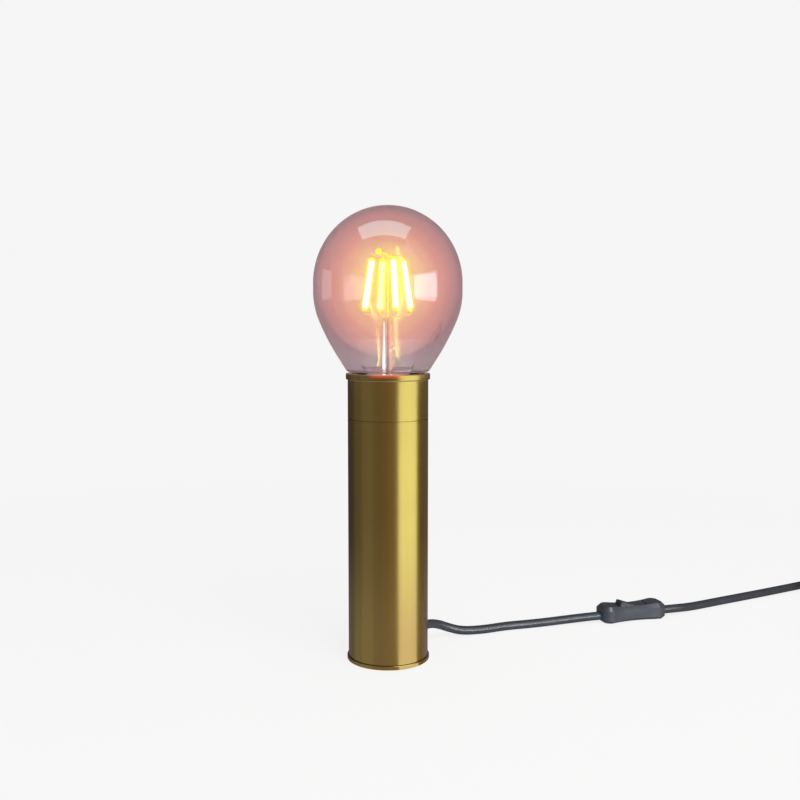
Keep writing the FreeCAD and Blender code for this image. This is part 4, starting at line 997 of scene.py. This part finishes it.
@dataclass
class Cords:
    """The mains lead: lamp to switch, and switch to coil to plug."""

    diameter: float = 0.006
    to_switch: tuple[Point, ...] = (
        (20.89, 24.9, 12.2),
        (26.7, 31.82, 12.2),
        (33.4, 37.9, 10.0),
        (41.3, 42.4, 5.9),
        (50.7, 44.4, 3.0),
        (66.0, 47.4, 3.0),
        (81.0, 55.0, 3.0),
        (103.0, 61.0, 3.0),
        (124.0, 69.0, 3.0),
        (140.3, 71.53, 4.3),
        (151.81, 75.04, 4.3),
    )
    to_coil: tuple[Point, ...] = (
        (200.59, 89.96, 4.3),
        (211.5, 93.3, 4.3),
        (226.0, 101.8, 3.0),
        (250.0, 115.4, 3.0),
        (282.0, 132.8, 3.0),
        (310.0, 148.6, 3.0),
        (331.2, 160.3, 3.2),
        (350.4, 171.08, 3.5),
    )
    to_plug: tuple[Point, ...] = (
        (393.05, 95.08, 10.1),
        (385.57, 90.64, 9.8),
        (376.4, 86.3, 8.5),
        (367.4, 80.55, 7.0),
        (360.1, 75.95, 6.85),
    )
    near_length: float = 0.144
    far_length: float = 1.56
    coil: Coil = field(default_factory=Coil)
    switch_nodes: tuple[str, ...] = (
        "switch_base",
        "switch_cover",
        "cover_screws",
        "rocker",
        "contact_bridge",
        "rocker_pin",
        "fixed_contacts",
        "switch_terminals",
        "switch_terminal_screws",
        "switch_leads",
        "cord_clamps",
        "switch_cores",
    )
    plug_nodes: tuple[str, ...] = ("coil_tie", "plug_relief", "plug_body", "plug_pins", "pin_sleeves")

    def _spline(self, name: str, points: Sequence[Point], jacket: Material) -> Piece:
        """A round cord on a smooth spline through the route."""
        curve = bpy.data.curves.new(name, "CURVE")
        curve.dimensions = "3D"
        curve.bevel_depth = self.diameter / 2
        curve.bevel_resolution = 6
        curve.resolution_u = 8
        curve.use_fill_caps = True
        spline = curve.splines.new("NURBS")
        spline.points.add(len(points) - 1)
        for knot, (x, y, z) in zip(spline.points, points):
            knot.co = (x * MM, y * MM, z * MM, 1.0)
        spline.order_u = 3
        spline.use_endpoint_u = True
        cord = new_object(name, curve)
        curve.materials.append(jacket)
        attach(cord, "lamp")
        return cord

    def build(self, jacket: Material) -> None:
        """Lays both stretches where their CAD solids lie.

        Args:
            jacket: the lead's material.
        """
        near = self._spline("lead_to_switch", self.to_switch, jacket)
        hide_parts("cord_to_switch")
        turns = self.coil.points(*self.to_coil[-2:])
        far = self._spline("lead_to_plug", [*self.to_coil, *turns, *self.to_plug], jacket)
        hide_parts("cord_to_coil", "cord_coil", "cord_to_plug")


# ---------------------------------------------------------------- bulb


@dataclass
class Bulb:
    """The glowing insides that the CAD bulb doesn't hold, with painted glows among them, and the finishes of
    the whole bulb.
    """

    azimuth: float = 20.0
    foot_circle: float = 15.4
    head_circle: float = 10.2
    foot_height: float = 223.6
    head_height: float = 255.6
    coat_radius: float = 1.85
    halo_radius: float = 3.6
    tab_radius: float = 1.25
    tab_length: float = 3.2
    bead: Point = (-5.7, -1.0, 260.0)
    bead_radius: float = 1.9
    post_top: float = 258.0
    bead_wire: float = 0.4
    tab_outline: Profile = ((0.45, 0.0), (1.0, 0.15), (1.0, 0.6), (0.7, 1.0))
    # Route and radius of the thin dark wires that paint a dark reflection at the neck.
    painted_reflection_route: Profile = ((16.4, 189.3), (13.8, 186.6), (15.5, 185.5), (19.5, 185.3))
    painted_reflection_radius: float = 0.33
    welds: tuple[tuple[Point, float], ...] = (
        ((1.6, -1.5, 198.4), 0.85),
        ((3.6, -1.2, 199.6), 0.6),
        ((2.6, -1.6, 202.6), 0.5),
    )
    flare: Profile = ((16.6, 184.8), (16.8, 196.5), (20.0, 200.5), (23.5, 205.5))
    belt: float = 0.0455
    flank_top: float = 0.235
    flank_radius: float = 0.075

    def filament(self, number: int) -> tuple[Vector, Vector]:
        """The foot and head of one filament, in millimetres."""
        azimuth = self.azimuth + 90 * number
        foot = polar(self.foot_circle, azimuth, self.foot_height)
        return foot, polar(self.head_circle, azimuth, self.head_height)

    def build(self) -> None:
        """Makes the phosphor coats, the end tabs and the bead with a painted yellow glow, the stem's insides
        and the nested volumes of painted glow.
        """
        coat = Luminous("phosphor_coat", (0.9, 0.97, 0.95), 4.0).make()
        # Painted yellow glow on the metal tabs and the weld bead, which are no lamps.
        tab = Luminous("tab_painted_glow", (1.0, 0.95, 0.0), 2.0, body=(0.4, 0.4, 0.0)).make()
        # Painted halo: a yellow-green glow volume round each filament, which also filters what lies behind
        # it to yellow.
        halo = PaintedGlow("halo", (0.85, 1.0, 0.0), 90.0, (0.95, 1.0, 0.02), 180.0).make()
        for number in range(4):
            foot, head = self.filament(number)
            dress(self._capsule(f"phosphor_coat_{number + 1}", foot, head, self.coat_radius, -0.8), coat)
            dress(self._capsule(f"halo_{number + 1}", foot, head, self.halo_radius, 1.2), halo)
            dress(self._tabs(number, foot, head), tab)
        bead = unmirrored(new_piece("weld_bead", "bulb", self._bead))
        dress(bead, tab)
        self._stem()
        self._painted_glow_volumes()

    def _capsule(self, name: str, foot: Vector, head: Vector, radius: float, past: float) -> Piece:
        """A round-ended body along one filament.

        Args:
            name: the piece's name.
            foot: the filament's lower end.
            head: its upper end.
            radius: the body's radius in millimetres.
            past: how far it reaches past both ends.

        Returns:
            The piece.
        """
        length = (head - foot).length
        cap = 0.8 * radius
        outline = []
        for step in range(7):
            angle = math.pi / 2 * step / 6
            outline.append((max(0.02, radius * math.sin(angle)), cap * (1 - math.cos(angle)) - past))
        outline += [(across, length - up) for across, up in reversed(outline)]
        outline = [(across * MM, up * MM) for across, up in outline]
        piece = unmirrored(new_lathe(name, outline, along(foot * MM, head * MM), 24))
        return piece

    def _tabs(self, number: int, foot: Vector, head: Vector) -> Piece:
        """The metal tabs that hold one filament's two ends."""
        way = (head - foot).normalized()

        def build(shape: Shape) -> None:
            """Both tabs in one mesh."""
            for end, outward in ((foot, -way), (head, way)):
                start = (end + outward * 0.6) * MM
                finish = (end - outward * self.tab_length) * MM
                wide = self.tab_radius * MM
                length = (finish - start).length
                outline = [(across * wide, up * length) for across, up in self.tab_outline]
                add_lathe(shape, outline, along(start, finish), 16)

        piece = unmirrored(new_piece(f"filament_tabs_{number + 1}", "bulb", build))
        return piece

    def _bead(self, shape: Shape) -> None:
        """The weld bead that the upper wires meet in, and its wire to the post."""
        centre = Vector(self.bead) * MM
        outline = egg(self.bead_radius, 1.25 * self.bead_radius, 9)
        add_lathe(shape, outline, Matrix.Translation(centre), 20)
        add_wire(shape, centre, Vector((0, 0, self.post_top)) * MM, self.bead_wire * MM, 12)

    def _stem(self) -> None:
        """The lead wires inside the glass stem, with painted light on them, the thin dark wires at the neck
        that paint a dark reflection, and the weld in the press with a painted glint.
        """
        wires = {
            # Painted light on the lead wires: a white painted highlight on the left one, a faint reddish
            # glow on the dark middle one and an orange glow on the right one.
            "lead_painted_highlight": ((-2.6, -2.8, 182.5), (-2.3, -1.6, 216.0), (0.95, 0.3), (0.85, 0.95, 1.0), 2.6),
            "lead_dark": ((-0.1, 0.4, 182.5), (-0.1, 0.4, 219.0), (0.4, 0.3), (0.3, 0.12, 0.1), 0.35),
            "lead_painted_orange_glow": ((1.9, -0.4, 182.5), (1.7, -0.4, 215.0), (0.85, 0.6), (1.0, 0.58, 0.46), 1.35),
        }
        for name, (low, high, (wide, narrow), colour, strength) in wires.items():
            start, end = Vector(low) * MM, Vector(high) * MM
            length = (end - start).length
            outline = [(wide * MM, 0.0), (wide * MM, 0.4 * length), (narrow * MM, length)]
            piece = new_lathe(name, outline, along(start, end), 12)
            dress(piece, Luminous(name, colour, strength, body=(0.2, 0.15, 0.15)).make())
        # Painted dark reflection: two thin dark wires in front of the neck.
        for side, name in ((-1, "neck_painted_reflection_left"), (1, "neck_painted_reflection_right")):
            painted_reflection = new_piece(name, "bulb", lambda shape: self._painted_reflection(shape, side))
            dress(painted_reflection, WorkedMetal(name, (0.06, 0.03, 0.04), 0.4).make())
        # The weld drops carry a painted orange glint of the filaments' light.
        weld = new_piece("press_weld_painted_glint", "bulb", self._weld)
        dress(weld, Luminous("press_weld_painted_glint", (1.0, 0.66, 0.42), 1.7).make())

    def _painted_reflection(self, shape: Shape, side: int) -> None:
        """One bent dark wire at the neck, half of a painted dark reflection; side is -1 for the left."""
        route = [Vector((side * across, -3.0, up)) * MM for across, up in self.painted_reflection_route]
        for start, end in zip(route, route[1:]):
            add_wire(shape, start, end, self.painted_reflection_radius * MM, 10)

    def _weld(self, shape: Shape) -> None:
        """Drops of metal where the lead wires are sealed into the press."""
        for place, radius in self.welds:
            add_lathe(shape, egg(radius, 1.2 * radius, 7), Matrix.Translation(Vector(place) * MM), 12)

    def _painted_glow_volumes(self) -> None:
        """Nested volumes of painted glow, one inside another, each a little smaller than the glass, and one
        more in the stem's flare.
        """
        layers = (
            (45.4, 46.5, 240.4, PaintedGlow("painted_glow_volume_1", (1.0, 0.40, 0.17), 13.2)),
            (38.0, 39.0, 240.4, PaintedGlow("painted_glow_volume_2", (1.0, 0.55, 0.0), 3.0)),
            (31.0, 33.0, 240.0, PaintedGlow("painted_glow_volume_3", (0.2, 1.0, 0.03), 5.5)),
            (24.0, 26.0, 241.0, PaintedGlow("painted_glow_volume_4", (0.35, 1.0, 0.0), 9.5)),
            (11.0, 20.0, 242.0, PaintedGlow("painted_glow_volume_5", (0.8, 1.0, 0.0), 10.0, (1.0, 1.0, 0.02), 45.0)),
        )
        for across, up, centre, finish in layers:
            outline = [(radius, centre * MM + height) for radius, height in egg(across, up, 41, 0.2)]
            outline = [(min(radius, self._room(height)), height) for radius, height in outline]
            piece = new_lathe(finish.name, outline, Matrix(), 64)
            dress(unmirrored(piece), finish.make())
        outline = [(radius * MM, height * MM) for radius, height in self.flare]
        flare = new_lathe("stem_flare", outline, Matrix(), 64)
        dress(flare, PaintedGlow("stem_flare", (0.8, 0.88, 1.0), 3.6).make())

    def _room(self, height: float) -> float:
        """How far from the axis the outer glow volume may reach inside the glass at a height, in metres."""
        if height >= self.flank_top:
            return 1.0
        flank = math.asin(min(1.0, (self.flank_top - height) / self.flank_radius))
        return self.belt - self.flank_radius * (1 - math.cos(flank))

    def dress(self) -> None:
        """Gives the CAD bulb's nodes their finishes."""
        finishes = {
            "bulb_glass": TintedGlass(),
            "bulb_stem": ClearGlass(),
            # Painted yellow glow on the centre post.
            "centre_post": Luminous("painted_glow_post", (0.95, 0.93, 0.06), 0.9),
            "bulb_cap": WorkedMetal("cap_nickel", (0.78, 0.75, 0.70), 0.22),
            "bulb_insulator": Moulding("vitrite", (0.02, 0.018, 0.028), 0.12, coat=0.5),
            "bulb_contact": WorkedMetal("solder", (0.62, 0.62, 0.64), 0.35),
            "driver_board": CircuitBoard(),
            "driver_capacitor": Moulding("capacitor_sleeve", (0.02, 0.03, 0.09), 0.3),
        }
        for node, finish in finishes.items():
            dress(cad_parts[node], finish.make())
        core = Luminous("filament_core", (1.0, 0.95, 0.72), 0.3).make()
        dress_nodes(core, *(f"led_filament_{number + 1}" for number in range(4)))
        # Painted yellow glow on the filament arms, which are no lamps.
        wire = Luminous("painted_glow_wire", (1.0, 0.80, 0.05), 0.6, body=(0.6, 0.6, 0.55)).make()
        dress_nodes(wire, "upper_arms", "lower_arms")


# ---------------------------------------------------------------- body, holder and foot


@dataclass
class Body:
    """The brass tube with its foot, top and all that sits inside."""

    def dress(self) -> None:
        """Gives the nodes their finishes."""
        brass = SatinBrass().make()
        dress_nodes(brass, "tube", "top_sleeve", "base_plate")
        dress(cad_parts["rim_cap"], RimBrass().make())
        zinc = WorkedMetal("zinc_steel", (0.62, 0.63, 0.65), 0.3).make()
        dress_nodes(zinc, "base_screws", "threaded_rod", "rod_nuts", "rod_washers", "terminal_screws")
        stamped = WorkedMetal("contact_brass", (0.80, 0.62, 0.30), 0.3).make()
        dress_nodes(stamped, "sleeve_coupler", "screw_shell", "centre_contact", "holder_terminals")
        phenolic = Moulding("holder_black", (0.016, 0.014, 0.013), 0.32, coat=0.2).make()
        dress_nodes(phenolic, "holder_base", "holder_skirt", "shade_ring_lower", "shade_ring_upper")
        glazed = Moulding("ceramic", (0.80, 0.78, 0.72), 0.25, coat=0.6, worn=1.05).make()
        dress_nodes(glazed, "holder_insert", "shell_support")
        dress(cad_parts["felt_pad"], Felt().make())
        dress(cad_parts["ballast_weight"], CastIron().make())
        dress(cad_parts["holder_wires"], Moulding("core_brown", (0.14, 0.055, 0.02), 0.35).make())


# ---------------------------------------------------------------- switch and plug


@dataclass
class InlineSwitch:
    """The rocker switch on the lead."""

    def dress(self, shell: Material, jacket: Material) -> None:
        """Gives the nodes their finishes.

        Args:
            shell: the material of the mouldings.
            jacket: the material of the lead.
        """
        dress_nodes(shell, "switch_base", "switch_cover", "rocker", "cord_clamps", "strain_relief")
        dress_nodes(jacket, "switch_leads", "inner_lead")
        steel = WorkedMetal("switch_steel", (0.6, 0.6, 0.62), 0.3).make()
        dress_nodes(steel, "cover_screws", "rocker_pin", "switch_terminal_screws")
        copper = WorkedMetal("switch_brass", (0.78, 0.58, 0.28), 0.3).make()
        dress_nodes(copper, "contact_bridge", "fixed_contacts", "switch_terminals")
        dress(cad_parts["switch_cores"], Moulding("switch_core", (0.14, 0.055, 0.02), 0.35).make())


@dataclass
class Plug:
    """The plug and the strap on the coil."""

    def dress(self, jacket: Material) -> None:
        """Gives the nodes their finishes.

        Args:
            jacket: the material of the moulded body.
        """
        dress_nodes(jacket, "plug_body", "plug_relief")
        dress(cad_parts["pin_sleeves"], Moulding("sleeve_black", (0.02, 0.02, 0.022), 0.4).make())
        dress(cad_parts["plug_pins"], WorkedMetal("pin_nickel", (0.80, 0.78, 0.72), 0.2).make())
        strap = Moulding("strap_black", (0.02, 0.02, 0.02), 0.7, texture=0.0008, depth=0.0001)
        dress(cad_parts["coil_tie"], strap.make())


CORD_JACKET = Moulding(
    "cord_jacket", (0.020, 0.022, 0.026), 0.24, texture=0.0005, depth=0.000006, coat=0.6
)
SWITCH_PLASTIC = Moulding(
    "switch_plastic", (0.024, 0.026, 0.031), 0.34, texture=0.0006, depth=0.00002, coat=0.5
)
BLACK_SWITCH_NODES = ("switch_base", "switch_cover", "rocker", "switch_leads")
BLACK_NODES = (*BLACK_SWITCH_NODES, "strain_relief", "plug_body", "plug_relief")
LOW_STRIP = StripLight("low_strip", (0.42, -0.52, 0.13), (0.14, 0.07, 0.0), (0.7, 0.04), 11.0)
EDGE_LIGHT = StripLight("edge_light", (0.27, -0.12, 0.62), (0.176, 0.082, 0.01), (0.1, 0.1), 1.5)


def main() -> None:
    """Builds the lamp's looks in order."""
    logging.basicConfig(level=logging.INFO, format="%(name)s: %(message)s")
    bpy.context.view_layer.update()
    studio = Studio()
    studio.build()
    LOG.info("studio and camera")
    jacket = CORD_JACKET.make()
    Cords().build(jacket)
    LOG.info("lead")
    Body().dress()
    LOG.info("body")
    bulb = Bulb()
    bulb.build()
    bulb.dress()
    LOG.info("bulb")
    shell = SWITCH_PLASTIC.make()
    InlineSwitch().dress(shell, jacket)
    Plug().dress(jacket)
    LOG.info("switch and plug")
    black = [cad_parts[name] for name in BLACK_NODES]
    leads = [bpy.data.objects["lead_to_switch"], bpy.data.objects["lead_to_plug"]]
    studio.light_only(LOW_STRIP, [*black, *leads])
    studio.light_only(EDGE_LIGHT, black)


if __name__ == "__main__":
    main()
